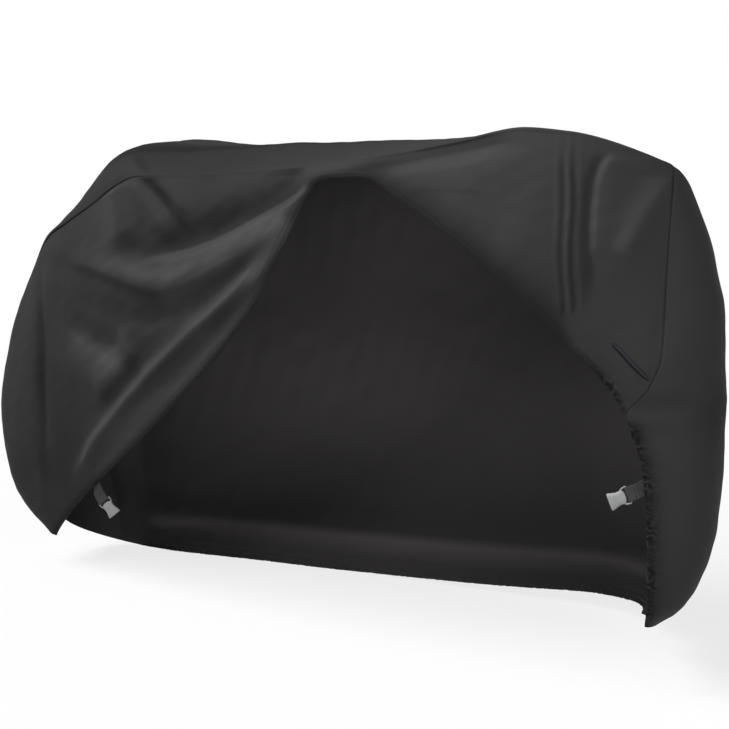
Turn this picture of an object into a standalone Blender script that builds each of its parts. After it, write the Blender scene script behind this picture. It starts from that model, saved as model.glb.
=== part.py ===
"""Fitted bicycle cover of coated cloth for two cycles side by side, with the hem of one long side
lifted to a peak so that the inside shows.

Three cloth pieces are sewn together: a near side panel with the lifted hem, a far side panel that
reaches the floor all along, and one gusset that runs up the rear, over the top and down the front.
The elastic hem belongs to the cloth. Two webbing straps with buckle halves and the welt of a lock
slit are sewn on. Sizes are in metres, x runs from rear to front, y from near to far, z is up.
"""

import math
from collections import namedtuple

import bmesh
import bpy
from mathutils import Vector

MM = 0.001

# ---- driving sizes ----
CLOTH_THICK = 2.0 * MM
HEM_THICK = 4.5 * MM
HEM_DEPTH = 22.0 * MM
SEAM_GAP = 0.4 * MM
ORIGIN = Vector((0.5575, 0.1061, -0.0100))

NEAR_END = 1.0
NEAR_ROWS = 22
FAR_ROWS = 12
GUSSET_ROWS = 10

# ---- columns of the sheets: from station, to station, number of steps ----
Band = namedtuple("Band", "start end steps")
BANDS = [
    Band(0.00, 0.24, 12),
    Band(0.24, 0.52, 12),
    Band(0.52, 0.66, 11),
    Band(0.66, 0.72, 3),
    Band(0.72, 0.87, 22),
    Band(0.87, 0.92, 4),
    Band(0.92, 1.00, 8),
    Band(1.00, 1.30, 15),
]

# ---- rails: the sewn lines and hems, one row for each change of course; u is the station ----
Stop = namedtuple("Stop", "u x y z")
NEAR_SEAM = [
    Stop(0.000, -0.325, 0.070, 0.085),
    Stop(0.060, -0.395, 0.060, 0.240),
    Stop(0.120, -0.430, 0.045, 0.420),
    Stop(0.180, -0.385, 0.020, 0.620),
    Stop(0.240, -0.239, -0.030, 0.787),
    Stop(0.280, -0.148, -0.060, 0.823),
    Stop(0.330, -0.008, -0.100, 0.878),
    Stop(0.365, 0.103, -0.130, 0.926),
    Stop(0.395, 0.201, -0.160, 0.952),
    Stop(0.430, 0.317, -0.180, 0.960),
    Stop(0.520, 0.659, -0.240, 0.991),
    Stop(0.610, 0.911, -0.270, 1.019),
    Stop(0.700, 1.206, -0.260, 1.069),
    Stop(0.750, 1.336, -0.230, 1.096),
    Stop(0.790, 1.412, -0.190, 1.090),
    Stop(0.850, 1.529, -0.070, 1.036),
    Stop(0.865, 1.542, -0.040, 1.018),
    Stop(0.900, 1.539, -0.050, 0.856),
    Stop(0.950, 1.545, -0.070, 0.681),
    Stop(0.980, 1.521, -0.078, 0.607),
    Stop(1.000, 1.474, -0.083, 0.552),
    Stop(1.040, 1.478, -0.074, 0.506),
    Stop(1.080, 1.494, -0.064, 0.456),
    Stop(1.150, 1.501, -0.054, 0.347),
    Stop(1.230, 1.496, -0.040, 0.217),
    Stop(1.300, 1.480, -0.015, 0.126),
]
TOP_RIDGE = [
    Stop(0.000, -0.345, 0.160, 0.038),
    Stop(0.060, -0.425, 0.160, 0.225),
    Stop(0.120, -0.465, 0.160, 0.420),
    Stop(0.180, -0.425, 0.140, 0.610),
    Stop(0.240, -0.312, 0.075, 0.768),
    Stop(0.280, -0.238, 0.055, 0.824),
    Stop(0.330, -0.133, 0.050, 0.908),
    Stop(0.365, -0.050, 0.050, 0.977),
    Stop(0.395, 0.055, 0.060, 1.005),
    Stop(0.430, 0.230, 0.080, 1.011),
    Stop(0.520, 0.560, 0.090, 1.032),
    Stop(0.610, 0.880, 0.080, 1.048),
    Stop(0.700, 1.120, 0.060, 1.062),
    Stop(0.750, 1.240, 0.060, 1.062),
    Stop(0.790, 1.325, 0.070, 1.042),
    Stop(0.850, 1.432, 0.080, 1.006),
    Stop(0.865, 1.458, 0.085, 0.985),
    Stop(0.900, 1.530, 0.090, 0.835),
    Stop(0.950, 1.560, 0.095, 0.670),
    Stop(1.000, 1.570, 0.095, 0.560),
    Stop(1.080, 1.567, 0.095, 0.440),
    Stop(1.150, 1.548, 0.095, 0.320),
    Stop(1.230, 1.490, 0.090, 0.190),
    Stop(1.300, 1.418, 0.090, 0.105),
]
FAR_SEAM = [
    Stop(0.000, -0.300, 0.250, 0.000),
    Stop(0.120, -0.410, 0.270, 0.420),
    Stop(0.180, -0.375, 0.280, 0.620),
    Stop(0.240, -0.290, 0.300, 0.770),
    Stop(0.280, -0.215, 0.320, 0.845),
    Stop(0.365, -0.030, 0.360, 0.945),
    Stop(0.430, 0.170, 0.400, 0.962),
    Stop(0.520, 0.480, 0.440, 0.980),
    Stop(0.610, 0.760, 0.455, 0.995),
    Stop(0.750, 1.060, 0.410, 1.000),
    Stop(0.850, 1.235, 0.320, 0.955),
    Stop(0.865, 1.262, 0.305, 0.930),
    Stop(0.900, 1.340, 0.275, 0.810),
    Stop(1.000, 1.395, 0.250, 0.540),
    Stop(1.150, 1.390, 0.240, 0.320),
    Stop(1.300, 1.310, 0.210, 0.085),
]
NEAR_HEM = [
    Stop(0.000, -0.268, -0.010, 0.060),
    Stop(0.100, -0.140, -0.050, 0.155),
    Stop(0.160, -0.021, -0.080, 0.237),
    Stop(0.240, 0.160, -0.120, 0.357),
    Stop(0.320, 0.332, -0.160, 0.475),
    Stop(0.395, 0.498, -0.200, 0.595),
    Stop(0.455, 0.624, -0.230, 0.710),
    Stop(0.510, 0.742, -0.260, 0.834),
    Stop(0.545, 0.806, -0.280, 0.911),
    Stop(0.575, 0.854, -0.290, 0.972),
    Stop(0.605, 0.917, -0.300, 0.991),
    Stop(0.635, 0.988, -0.300, 0.994),
    Stop(0.670, 1.081, -0.300, 0.952),
    Stop(0.710, 1.176, -0.300, 0.904),
    Stop(0.765, 1.280, -0.280, 0.837),
    Stop(0.820, 1.355, -0.250, 0.770),
    Stop(0.860, 1.386, -0.210, 0.722),
    Stop(0.900, 1.406, -0.170, 0.675),
    Stop(0.940, 1.428, -0.130, 0.634),
    Stop(0.975, 1.448, -0.100, 0.591),
    Stop(1.000, 1.457, -0.086, 0.563),
]
FAR_HEM = [
    Stop(0.000, -0.240, 0.265, -0.006),
    Stop(0.300, -0.100, 0.305, -0.010),
    Stop(0.430, 0.180, 0.380, -0.010),
    Stop(0.520, 0.425, 0.420, -0.003),
    Stop(0.610, 0.700, 0.455, 0.010),
    Stop(0.750, 0.959, 0.480, 0.030),
    Stop(0.865, 1.130, 0.430, 0.045),
    Stop(1.000, 1.220, 0.350, 0.055),
    Stop(1.300, 1.290, 0.230, 0.068),
]

# ---- how far each side panel stands out from the straight line between its seam and its hem ----
Puff = namedtuple("Puff", "u x y z")
NEAR_PUFF = [
    Puff(0.000, -0.010, -0.010, 0.000),
    Puff(0.080, -0.062, -0.072, 0.000),
    Puff(0.160, -0.072, -0.095, 0.000),
    Puff(0.300, -0.028, -0.074, 0.000),
    Puff(0.450, 0.000, -0.035, 0.000),
    Puff(0.620, 0.000, -0.004, 0.000),
    Puff(0.800, 0.008, -0.022, 0.000),
    Puff(0.900, 0.015, -0.026, 0.000),
    Puff(1.000, 0.000, -0.002, 0.000),
]
FAR_PUFF = [
    Puff(0.000, 0.000, 0.008, 0.000),
    Puff(0.200, -0.030, 0.045, 0.000),
    Puff(0.450, 0.000, 0.045, 0.000),
    Puff(0.900, 0.000, 0.045, 0.000),
    Puff(1.050, 0.010, 0.030, 0.000),
    Puff(1.300, 0.000, 0.006, 0.000),
]
FAR_SHOULDER = 0.350
FAR_HEM_DRAW = 0.160

# ---- folds of the near side panel, each a bend through three points (x, z) on its face ----
Fold = namedtuple("Fold", "name start middle end width height")
NEAR_FOLDS = [
    Fold("corner crease", (0.190, 0.965), (0.280, 0.912), (0.372, 0.858), 0.018, 0.014),
    Fold("trough over corner crease", (0.215, 0.965), (0.310, 0.915), (0.400, 0.885), 0.018, -0.012),
    Fold("upper swag trough", (0.310, 0.850), (0.540, 0.860), (0.790, 0.955), 0.030, -0.020),
    Fold("upper swag", (0.060, 0.790), (0.347, 0.725), (0.809, 0.938), 0.042, 0.026),
    Fold("trough under upper swag", (0.000, 0.720), (0.300, 0.640), (0.620, 0.800), 0.045, -0.018),
    Fold("lower swag", (-0.080, 0.650), (0.060, 0.560), (0.200, 0.545), 0.036, 0.022),
    Fold("long ridge", (-0.100, 0.215), (0.260, 0.561), (0.740, 0.920), 0.034, 0.024),
    Fold("trough by long ridge", (-0.060, 0.190), (0.345, 0.535), (0.700, 0.830), 0.032, -0.014),
    Fold("rear upright crease", (-0.225, 0.760), (-0.205, 0.500), (-0.203, 0.217), 0.024, -0.012),
    Fold("rear upright ridge", (-0.170, 0.720), (-0.150, 0.500), (-0.160, 0.260), 0.024, 0.008),
    Fold("front crease", (1.412, 1.105), (1.420, 0.920), (1.412, 0.720), 0.020, -0.010),
    Fold("bowed front ridge", (1.475, 1.085), (1.450, 0.950), (1.445, 0.820), 0.019, 0.010),
    Fold("front corner ridge", (1.545, 1.030), (1.510, 0.960), (1.470, 0.870), 0.018, 0.010),
    Fold("long front swell", (0.960, 1.010), (1.150, 1.010), (1.330, 1.060), 0.026, 0.008),
]
FOLD_SAMPLES = 24

# ---- a low shoulder on the far half of the gusset, behind the top ridge ----
SHOULDER_PLACE = (-0.090, 0.250)
SHOULDER_SPREAD = (0.150, 0.075)
SHOULDER_RISE = 0.040

# ---- webbing straps: station on the hem, way from hem to buckle bar, directions of the buckle ----
WEB_WIDTH = 30.0 * MM
WEB_THICK = 1.6 * MM
WEB_CLEAR = 0.4 * MM
WEB_RETURN = 14.0 * MM
WEB_TURNS = 8
STRAP_GAP = 0.95 * MM
TAB_STEP = 0.010
BAR_HALF = 1.7 * MM
Tab = namedtuple("Tab", "name station drop along across")
TABS = [
    Tab("rear", 0.148, (0.018, 0.010, -0.036), (0.526, 0.313, -0.751), (0.766, 0.194, 0.617)),
    Tab("front", 1.112, (-0.026, -0.011, -0.013), (-0.832, -0.353, -0.430), (-0.400, 0.0, 0.800)),
]

# ---- buckle half: rows from the webbing bar to the open end ----
SLOT_FROM = BAR_HALF
SLOT_TO = 6.6 * MM
SLOT_HALF = 15.8 * MM
BuckleRow = namedtuple("BuckleRow", "along half_width half_thick")
BUCKLE_OUTLINE = [
    BuckleRow(-BAR_HALF, 18.5 * MM, BAR_HALF),
    BuckleRow(SLOT_TO, 18.2 * MM, BAR_HALF),
    BuckleRow(10.0 * MM, 15.0 * MM, 3.6 * MM),
    BuckleRow(17.0 * MM, 13.2 * MM, 4.0 * MM),
    BuckleRow(29.0 * MM, 14.8 * MM, 4.0 * MM),
    BuckleRow(39.5 * MM, 17.6 * MM, 4.0 * MM),
    BuckleRow(41.0 * MM, 16.8 * MM, 3.3 * MM),
]

# ---- welt of the lock slit, ends given as (x, z) on the near panel ----
SLIT_START = (1.472, 0.690)
SLIT_END = (1.519, 0.624)
SLIT_GUESS = (0.93, 0.40)
WELT_STEPS = 10
WELT_HALF = 8.0 * MM
WELT_THICK = 1.5 * MM
WELT_CLEAR = 0.7 * MM


def clear_scene():
    """Start from an empty scene."""
    for old in list(bpy.data.objects):
        bpy.data.objects.remove(old, do_unlink=True)


def smooth_rail(rows):
    """A curve through the rows that never swings past them between two rows."""
    stations = [row[0] for row in rows]
    columns = [[row[axis] for row in rows] for axis in (1, 2, 3)]
    spans = [b - a for a, b in zip(stations, stations[1:])]

    def slopes_of(values):
        rises = [(b - a) / h for a, b, h in zip(values, values[1:], spans)]
        slopes = [rises[0]]
        for left, right, before, after in zip(rises, rises[1:], spans, spans[1:]):
            if left * right <= 0.0:
                slopes.append(0.0)
                continue
            first = after + 2.0 * before
            second = before + 2.0 * after
            slopes.append((first + second) / (second / left + first / right))
        return slopes + [rises[-1]]

    tangents = [slopes_of(values) for values in columns]

    def at(u):
        k = 0
        while k < len(spans) - 1 and u > stations[k + 1]:
            k += 1
        h = spans[k]
        t = (u - stations[k]) / h
        ahead = t * t * (3.0 - 2.0 * t)
        leave = t * (1.0 - t) ** 2 * h
        arrive = t * t * (t - 1.0) * h
        return Vector([
            (1.0 - ahead) * values[k] + ahead * values[k + 1]
            + leave * slopes[k] + arrive * slopes[k + 1]
            for values, slopes in zip(columns, tangents)
        ])

    return at


near_seam = smooth_rail(NEAR_SEAM)
top_ridge = smooth_rail(TOP_RIDGE)
far_seam = smooth_rail(FAR_SEAM)
near_hem = smooth_rail(NEAR_HEM)
far_hem = smooth_rail(FAR_HEM)
near_puff = smooth_rail(NEAR_PUFF)
far_puff = smooth_rail(FAR_PUFF)


def ease(t):
    """0 to 1 with level ends."""
    t = min(1.0, max(0.0, t))
    return t * t * (3.0 - 2.0 * t)


def fold_course(fold, t):
    """A point on the bend of a fold, which passes its middle point at t = 0.5."""
    return [
        (1.0 - t) ** 2 * a + 2.0 * t * (1.0 - t) * (2.0 * m - (a + b) / 2.0) + t * t * b
        for a, m, b in zip(fold.start, fold.middle, fold.end)
    ]


COURSES = [
    [(k / FOLD_SAMPLES, fold_course(fold, k / FOLD_SAMPLES)) for k in range(FOLD_SAMPLES + 1)]
    for fold in NEAR_FOLDS
]


def fold_lift(x, z):
    """Sum of all folds at a point of the near panel: soft ridges that run out at both ends."""
    lift = 0.0
    for fold, course in zip(NEAR_FOLDS, COURSES):
        gap, t = min((math.hypot(x - p[0], z - p[1]), t) for t, p in course)
        runout = ease(t / 0.25) * ease((1.0 - t) / 0.25)
        lift += fold.height * math.exp(-((gap / fold.width) ** 2)) * (0.15 + 0.85 * runout)
    return lift


def near_face(u, v):
    """Outer face of the near side panel, v from seam to hem."""
    seam = near_seam(u)
    hem = near_hem(u)
    puff = near_puff(u)
    point = seam.lerp(hem, v) + puff * (4.0 * v * (1.0 - v))
    outward = Vector((puff.x, puff.y - 0.02, 0.0)).normalized()
    reach = (seam - hem).length
    hold = ease(v * reach / 0.05) * (0.3 + 0.7 * ease((1.0 - v) * reach / 0.07))
    return point + outward * fold_lift(point.x, point.z) * hold


def gusset_face(u, w):
    """Outer face of the gusset, w from the near seam over the ridge to the far seam."""
    near = near_seam(u)
    far = far_seam(u)
    rise = top_ridge(u) - (near + far) / 2.0
    point = near.lerp(far, w) + rise * (4.0 * w * (1.0 - w)) ** 0.85
    east = (point.x - SHOULDER_PLACE[0]) / SHOULDER_SPREAD[0]
    north = (point.y - SHOULDER_PLACE[1]) / SHOULDER_SPREAD[1]
    bump = SHOULDER_RISE * math.exp(-east * east - north * north) * ease((u - 0.2) / 0.12)
    return point + Vector((0.0, 0.0, bump)) * ease(4.0 * w * (1.0 - w))


def far_face(u, v):
    """Outer face of the far side panel, v from seam to hem; the hem draws the cloth in."""
    seam = far_seam(u)
    hem = far_hem(u)
    reach = (seam - hem).length
    belly = ease((1.0 - v) * reach / FAR_HEM_DRAW) * ease(v * reach / FAR_SHOULDER)
    return seam.lerp(hem, v) + far_puff(u) * belly


def facing(face, u, v, sign, step=0.004):
    """Outward unit normal of a face at (u, v)."""
    along = face(u + step, v) - face(max(0.0, u - step), v)
    across = face(u, min(1.0, v + step)) - face(u, max(0.0, v - step))
    return along.cross(across).normalized() * sign


def seam_fold(u, edge):
    """Where two cloths meet: the step from the outer line of the seam to its inner line."""
    if edge == "near":
        side = facing(near_face, min(u, NEAR_END - 0.004), 0.0, -1.0)
        strip = facing(gusset_face, u, 0.004, 1.0)
    else:
        side = facing(far_face, u, 0.0, 1.0)
        strip = facing(gusset_face, u, 0.996, 1.0)
    return (side + strip) * (-CLOTH_THICK / (1.0 + side.dot(strip)))


def length_stops():
    """Stations along the seam, band by band."""
    stops = [0.0]
    for band in BANDS:
        step = (band.end - band.start) / band.steps
        stops += [band.start + step * (k + 1) for k in range(band.steps)]
    return stops


def row_stops(reach, rows):
    """Stations from seam to hem, the last two on the hem itself."""
    hem_share = min(0.5, HEM_DEPTH / reach)
    body = [(1.0 - hem_share) * k / rows for k in range(rows + 1)]
    return body + [1.0 - 0.4 * hem_share, 1.0]


def hem_thickness(distance):
    """The cloth thickens into its rolled hem."""
    return CLOTH_THICK + (HEM_THICK - CLOTH_THICK) * ease(1.0 - distance / HEM_DEPTH)


def grid_normals(grid, sign):
    """Outward normals at the points of a grid."""
    last_i = len(grid) - 1
    last_j = len(grid[0]) - 1
    normals = []
    for i in range(last_i + 1):
        row = []
        for j in range(last_j + 1):
            along = grid[min(i + 1, last_i)][j] - grid[max(i - 1, 0)][j]
            across = grid[i][min(j + 1, last_j)] - grid[i][max(j - 1, 0)]
            row.append(along.cross(across).normalized() * sign)
        normals.append(row)
    return normals


def finish_piece(name, form, material):
    """Turn a bmesh into a named object with its faces facing out and its material."""
    bmesh.ops.triangulate(form, faces=form.faces[:])
    bmesh.ops.recalc_face_normals(form, faces=form.faces[:])
    mesh = bpy.data.meshes.new(name)
    form.to_mesh(mesh)
    form.free()
    mesh.shade_smooth()
    mesh.set_sharp_from_angle(angle=math.radians(50.0))
    mesh.materials.append(material)
    piece = bpy.data.objects.new(name, mesh)
    bpy.context.collection.objects.link(piece)
    return piece


def closed_sheet(name, outer, inner, material):
    """A sheet as one closed solid: outer face, inner face and the four edges between them."""
    count_i = len(outer)
    count_j = len(outer[0])
    form = bmesh.new()
    top = [[form.verts.new(p - ORIGIN) for p in row] for row in outer]
    under = [[form.verts.new(p - ORIGIN) for p in row] for row in inner]
    for i in range(count_i - 1):
        for j in range(count_j - 1):
            form.faces.new((top[i][j], top[i + 1][j], top[i + 1][j + 1], top[i][j + 1]))
            form.faces.new((under[i][j], under[i][j + 1], under[i + 1][j + 1], under[i + 1][j]))
    for j in (0, count_j - 1):
        for i in range(count_i - 1):
            form.faces.new((top[i][j], under[i][j], under[i + 1][j], top[i + 1][j]))
    for i in (0, count_i - 1):
        for j in range(count_j - 1):
            form.faces.new((top[i][j], top[i][j + 1], under[i][j + 1], under[i][j]))
    return finish_piece(name, form, material)


def plain_finish(name, colour, roughness):
    """A material with one colour and one roughness."""
    finish = bpy.data.materials.new(name)
    finish.use_nodes = True
    shader = finish.node_tree.nodes["Principled BSDF"]
    shader.inputs["Base Color"].default_value = (*colour, 1.0)
    shader.inputs["Roughness"].default_value = roughness
    return finish


def side_panel(name, face, seam, hem, rows, stops, edge, sign, material):
    """A side panel from its seam to its hem."""
    outer = []
    depths = []
    for u in stops:
        reach = (seam(u) - hem(u)).length
        shares = row_stops(reach, rows)
        outer.append([face(u, v) for v in shares])
        depths.append([hem_thickness((1.0 - v) * reach) for v in shares])
    normals = grid_normals(outer, sign)
    inner = [
        [p - n * t for p, n, t in zip(line, turned, thick)]
        for line, turned, thick in zip(outer, normals, depths)
    ]
    for i, u in enumerate(stops):
        into = (outer[i][1] - outer[i][0]).normalized() * SEAM_GAP / 2.0
        inner[i][0] = outer[i][0] + seam_fold(u, edge) + into
        outer[i][0] = outer[i][0] + into
    return closed_sheet(name, outer, inner, material)


def gusset(stops, material):
    """The strip that joins both side panels; past the near panel its near edge is a hem."""
    shares = [k / GUSSET_ROWS for k in range(GUSSET_ROWS + 1)]
    outer = [[gusset_face(u, w) for w in shares] for u in stops]
    normals = grid_normals(outer, 1.0)
    inner = [
        [p - n * CLOTH_THICK for p, n in zip(line, turned)] for line, turned in zip(outer, normals)
    ]
    for i, u in enumerate(stops):
        into = (outer[i][1] - outer[i][0]).normalized() * SEAM_GAP / 2.0
        back = (outer[i][-2] - outer[i][-1]).normalized() * SEAM_GAP / 2.0
        if u <= NEAR_END:
            inner[i][0] = outer[i][0] + seam_fold(u, "near") + into
            outer[i][0] = outer[i][0] + into
        inner[i][-1] = outer[i][-1] + seam_fold(u, "far") + back
        outer[i][-1] = outer[i][-1] + back
    return closed_sheet("gusset", outer, inner, material)


def tab_root(tab):
    """The middle of the hem edge a strap is sewn to, and the direction of that hem."""
    if tab.station <= NEAR_END:
        edge = near_face(tab.station, 1.0)
        into = near_face(tab.station, 1.0 - TAB_STEP)
        course = near_face(tab.station + TAB_STEP, 1.0) - edge
        inward = course.cross(edge - into).normalized() * HEM_THICK / 2.0
    else:
        edge = gusset_face(tab.station, 0.0)
        into = gusset_face(tab.station, 1.0 / GUSSET_ROWS)
        course = gusset_face(tab.station - TAB_STEP, 0.0) - edge
        inward = (edge - into).cross(course).normalized() * CLOTH_THICK / 2.0
    away = (edge - into).normalized()
    return edge + away * STRAP_GAP + inward, course.normalized()


def tab_frame(tab):
    """Buckle bar of a strap and the directions along, across and up of its buckle."""
    root, _ = tab_root(tab)
    along = Vector(tab.along).normalized()
    across = Vector(tab.across)
    across = (across - along * across.dot(along)).normalized()
    return root + Vector(tab.drop), along, across, along.cross(across)


def ribbon(name, path, sides, width, thick, material):
    """A flat band along a path, its first end cut along sides[0] and the rest square to it."""
    top = []
    under = []
    for i, (point, across) in enumerate(zip(path, sides)):
        course = (path[min(i + 1, len(path) - 1)] - path[max(i - 1, 0)]).normalized()
        if i > 0:
            across = (across - course * across.dot(course)).normalized()
        lift = course.cross(across).normalized() * thick / 2.0
        line = [point + across * width * s for s in (-0.5, 0.0, 0.5)]
        top.append([p + lift for p in line])
        under.append([p - lift for p in line])
    return closed_sheet(name, top, under, material)


def strap(tab, material):
    """Webbing from the hem that turns round the buckle bar, its tail lying under it."""
    root, hem_course = tab_root(tab)
    bar, along, across, up = tab_frame(tab)
    bend = BAR_HALF * math.sqrt(2.0) + WEB_CLEAR + WEB_THICK / 2.0
    lead = bar - along * WEB_RETURN
    path = [root, root.lerp(lead, 0.5), lead]
    for k in range(WEB_TURNS + 1):
        angle = math.pi * (0.5 - k / WEB_TURNS)
        path.append(bar + along * bend * math.cos(angle) + up * bend * math.sin(angle))
    path.append(lead - up * (WEB_THICK + WEB_CLEAR))
    halfway = (hem_course + across).normalized()
    sides = [hem_course, halfway] + [across] * (len(path) - 2)
    return ribbon(tab.name + "_strap", path, sides, WEB_WIDTH, WEB_THICK, material)


def buckle(tab, material):
    """Buckle half: a waisted body with a thin frame and a slot for the webbing at one end."""
    bar, along, across, up = tab_frame(tab)
    form = bmesh.new()
    rim = [(row.along, row.half_width, row.half_thick) for row in BUCKLE_OUTLINE]
    rim += [(a, -b, c) for a, b, c in reversed(rim)]
    slot = [
        (SLOT_FROM, SLOT_HALF, BAR_HALF), (SLOT_TO, SLOT_HALF, BAR_HALF),
        (SLOT_TO, -SLOT_HALF, BAR_HALF), (SLOT_FROM, -SLOT_HALF, BAR_HALF),
    ]
    layers = []
    for side in (1.0, -1.0):
        rings = []
        for loop in (rim, slot):
            rings.append([form.verts.new(bar + along * a + across * b + up * c * side - ORIGIN)
                          for a, b, c in loop])
        layers.append(rings)
    for upper, lower in zip(*layers):
        for k, corner in enumerate(upper):
            after = (k + 1) % len(upper)
            form.faces.new((corner, upper[after], lower[after], lower[k]))
    for rings in layers:
        edges = [form.edges.get((ring[k - 1], ring[k])) for ring in rings for k in range(len(ring))]
        bmesh.ops.triangle_fill(form, edges=edges, use_beauty=True)
    return finish_piece(tab.name + "_buckle", form, material)


def place_on_near(x, z, guess):
    """Stations (u, v) of the point of the near panel that lies at (x, z)."""
    u, v = guess
    small = 0.002
    for _ in range(12):
        here = near_face(u, v)
        du = (near_face(u + small, v) - here) / small
        dv = (near_face(u, v + small) - here) / small
        spread = du.x * dv.z - dv.x * du.z
        east = x - here.x
        high = z - here.z
        u = min(0.99, max(0.80, u + (east * dv.z - high * dv.x) / spread))
        v = min(0.98, max(0.02, v + (du.x * high - du.z * east) / spread))
    return u, v


def slit_welt(material):
    """A narrow lens of cloth that binds the lock slit, lying on the near panel."""
    spot = SLIT_GUESS
    outer = []
    inner = []
    course = Vector(SLIT_END) - Vector(SLIT_START)
    side = Vector((-course.y, course.x)).normalized()
    for k in range(WELT_STEPS + 1):
        t = k / WELT_STEPS
        half = WELT_HALF * math.sqrt(max(0.06, 4.0 * t * (1.0 - t)))
        line_out = []
        line_in = []
        for share, full in ((-1.0, 0.6), (-0.4, 1.0), (0.4, 1.0), (1.0, 0.6)):
            flat = Vector(SLIT_START) + course * t + side * half * share
            spot = place_on_near(flat.x, flat.y, spot)
            lift = facing(near_face, spot[0], spot[1], -1.0)
            line_in.append(near_face(*spot) + lift * WELT_CLEAR)
            line_out.append(near_face(*spot) + lift * (WELT_CLEAR + WELT_THICK * full))
        outer.append(line_out)
        inner.append(line_in)
    return closed_sheet("slit_welt", outer, inner, material)


def main():
    """Build every piece of the cover."""
    clear_scene()
    cloth = plain_finish("coated_cloth", (0.045, 0.045, 0.047), 0.6)
    web = plain_finish("webbing", (0.035, 0.035, 0.036), 0.8)
    plastic = plain_finish("grey_plastic", (0.34, 0.34, 0.34), 0.45)
    stops = length_stops()
    near_stops = [u for u in stops if u <= NEAR_END + 1e-6]
    side_panel("near_side_panel", near_face, near_seam, near_hem, NEAR_ROWS, near_stops,
               "near", -1.0, cloth)
    side_panel("far_side_panel", far_face, far_seam, far_hem, FAR_ROWS, stops, "far", 1.0, cloth)
    gusset(stops, cloth)
    slit_welt(cloth)
    for tab in TABS:
        strap(tab, web)
        buckle(tab, plastic)


main()
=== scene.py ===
# %% [markdown]
# # A fitted cover
#
# The cover is three pieces of charcoal cloth sewn together: a side panel nearest the viewer, a side
# panel on the far side, and one long gusset that runs up the rear, over the top and down the front.
# The hem of the near side is lifted to a peak, so the inside of the far side shows. Two short
# webbing tabs with grey buckle halves hang from the lifted hem, and a bound slit sits low on the
# front of the near panel.
#
# The first cell loads the solids, which fix where everything is, and keeps them by name.

# %% Load the fixed frame
import math
from collections import namedtuple

import bmesh
import bpy
import numpy as np
from mathutils import Matrix, Vector


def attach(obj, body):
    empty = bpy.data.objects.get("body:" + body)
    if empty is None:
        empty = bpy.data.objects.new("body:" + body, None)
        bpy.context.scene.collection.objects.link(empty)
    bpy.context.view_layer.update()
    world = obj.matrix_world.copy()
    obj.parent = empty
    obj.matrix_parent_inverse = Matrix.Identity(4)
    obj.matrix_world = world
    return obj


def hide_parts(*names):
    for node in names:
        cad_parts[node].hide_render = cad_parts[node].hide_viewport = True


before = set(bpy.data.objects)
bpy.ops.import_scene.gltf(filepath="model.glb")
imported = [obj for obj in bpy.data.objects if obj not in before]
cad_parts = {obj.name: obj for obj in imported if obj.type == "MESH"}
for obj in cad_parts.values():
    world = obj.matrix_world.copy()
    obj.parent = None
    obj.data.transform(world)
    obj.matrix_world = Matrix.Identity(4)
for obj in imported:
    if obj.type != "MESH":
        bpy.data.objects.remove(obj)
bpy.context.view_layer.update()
MM = 0.001
TURN = 2.0 * math.pi
print("nodes:", sorted(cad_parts))

# %% [markdown]
# ## Camera
#
# The picture is square and taken from about chest height with a long lens, 42 degrees round from
# the near side towards the front and looking down by 8 degrees. The camera is built from its three
# directions, because that leaves no doubt about its roll, which is zero.

# %% Place the camera
CAMERA_PLACE = Vector((3.6345, -3.9641, 1.3100))
CAMERA_TILT = math.radians(8.0234)
CAMERA_HEADING = Vector((-0.6678, 0.7443, 0.0))
PICTURE_SIDE = 729
FOCAL_PIXELS = 2468.16
SENSOR = 36.0
FURTHEST_SEEN = 1000.0


def place_camera():
    """A camera from its place, heading and tilt."""
    ahead = CAMERA_HEADING.normalized() * math.cos(CAMERA_TILT)
    ahead.z = -math.sin(CAMERA_TILT)
    right = ahead.cross(Vector((0.0, 0.0, 1.0))).normalized()
    up = right.cross(ahead)
    data = bpy.data.cameras.new("view")
    data.sensor_width = SENSOR
    data.lens = FOCAL_PIXELS / PICTURE_SIDE * SENSOR
    data.clip_end = FURTHEST_SEEN
    camera = bpy.data.objects.new("view", data)
    turn = Matrix((right, up, -ahead)).transposed().to_4x4()
    camera.matrix_world = Matrix.Translation(CAMERA_PLACE) @ turn
    bpy.context.collection.objects.link(camera)
    bpy.context.scene.camera = camera
    return camera


print("lens:", round(place_camera().data.lens, 2), "mm")

# %% [markdown]
# ## Rails
#
# A sewn cover is drawn from its seams: the cloth between two seams follows from them. Each rail is a
# short table with one row (u, x, y, z) for each change of course, in thousandths and millimetres, and
# a curve runs through its rows without swinging past them. Every rail has the same station u, 0 at
# the rear foot of the cover and 1.3 at the front foot, so that two rails can be joined by straight
# threads. The near panel ends at station 1, where the leg of the gusset takes over its hem. The
# tables are measured from the rear, and one step moves them to the frame's origin.

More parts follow.
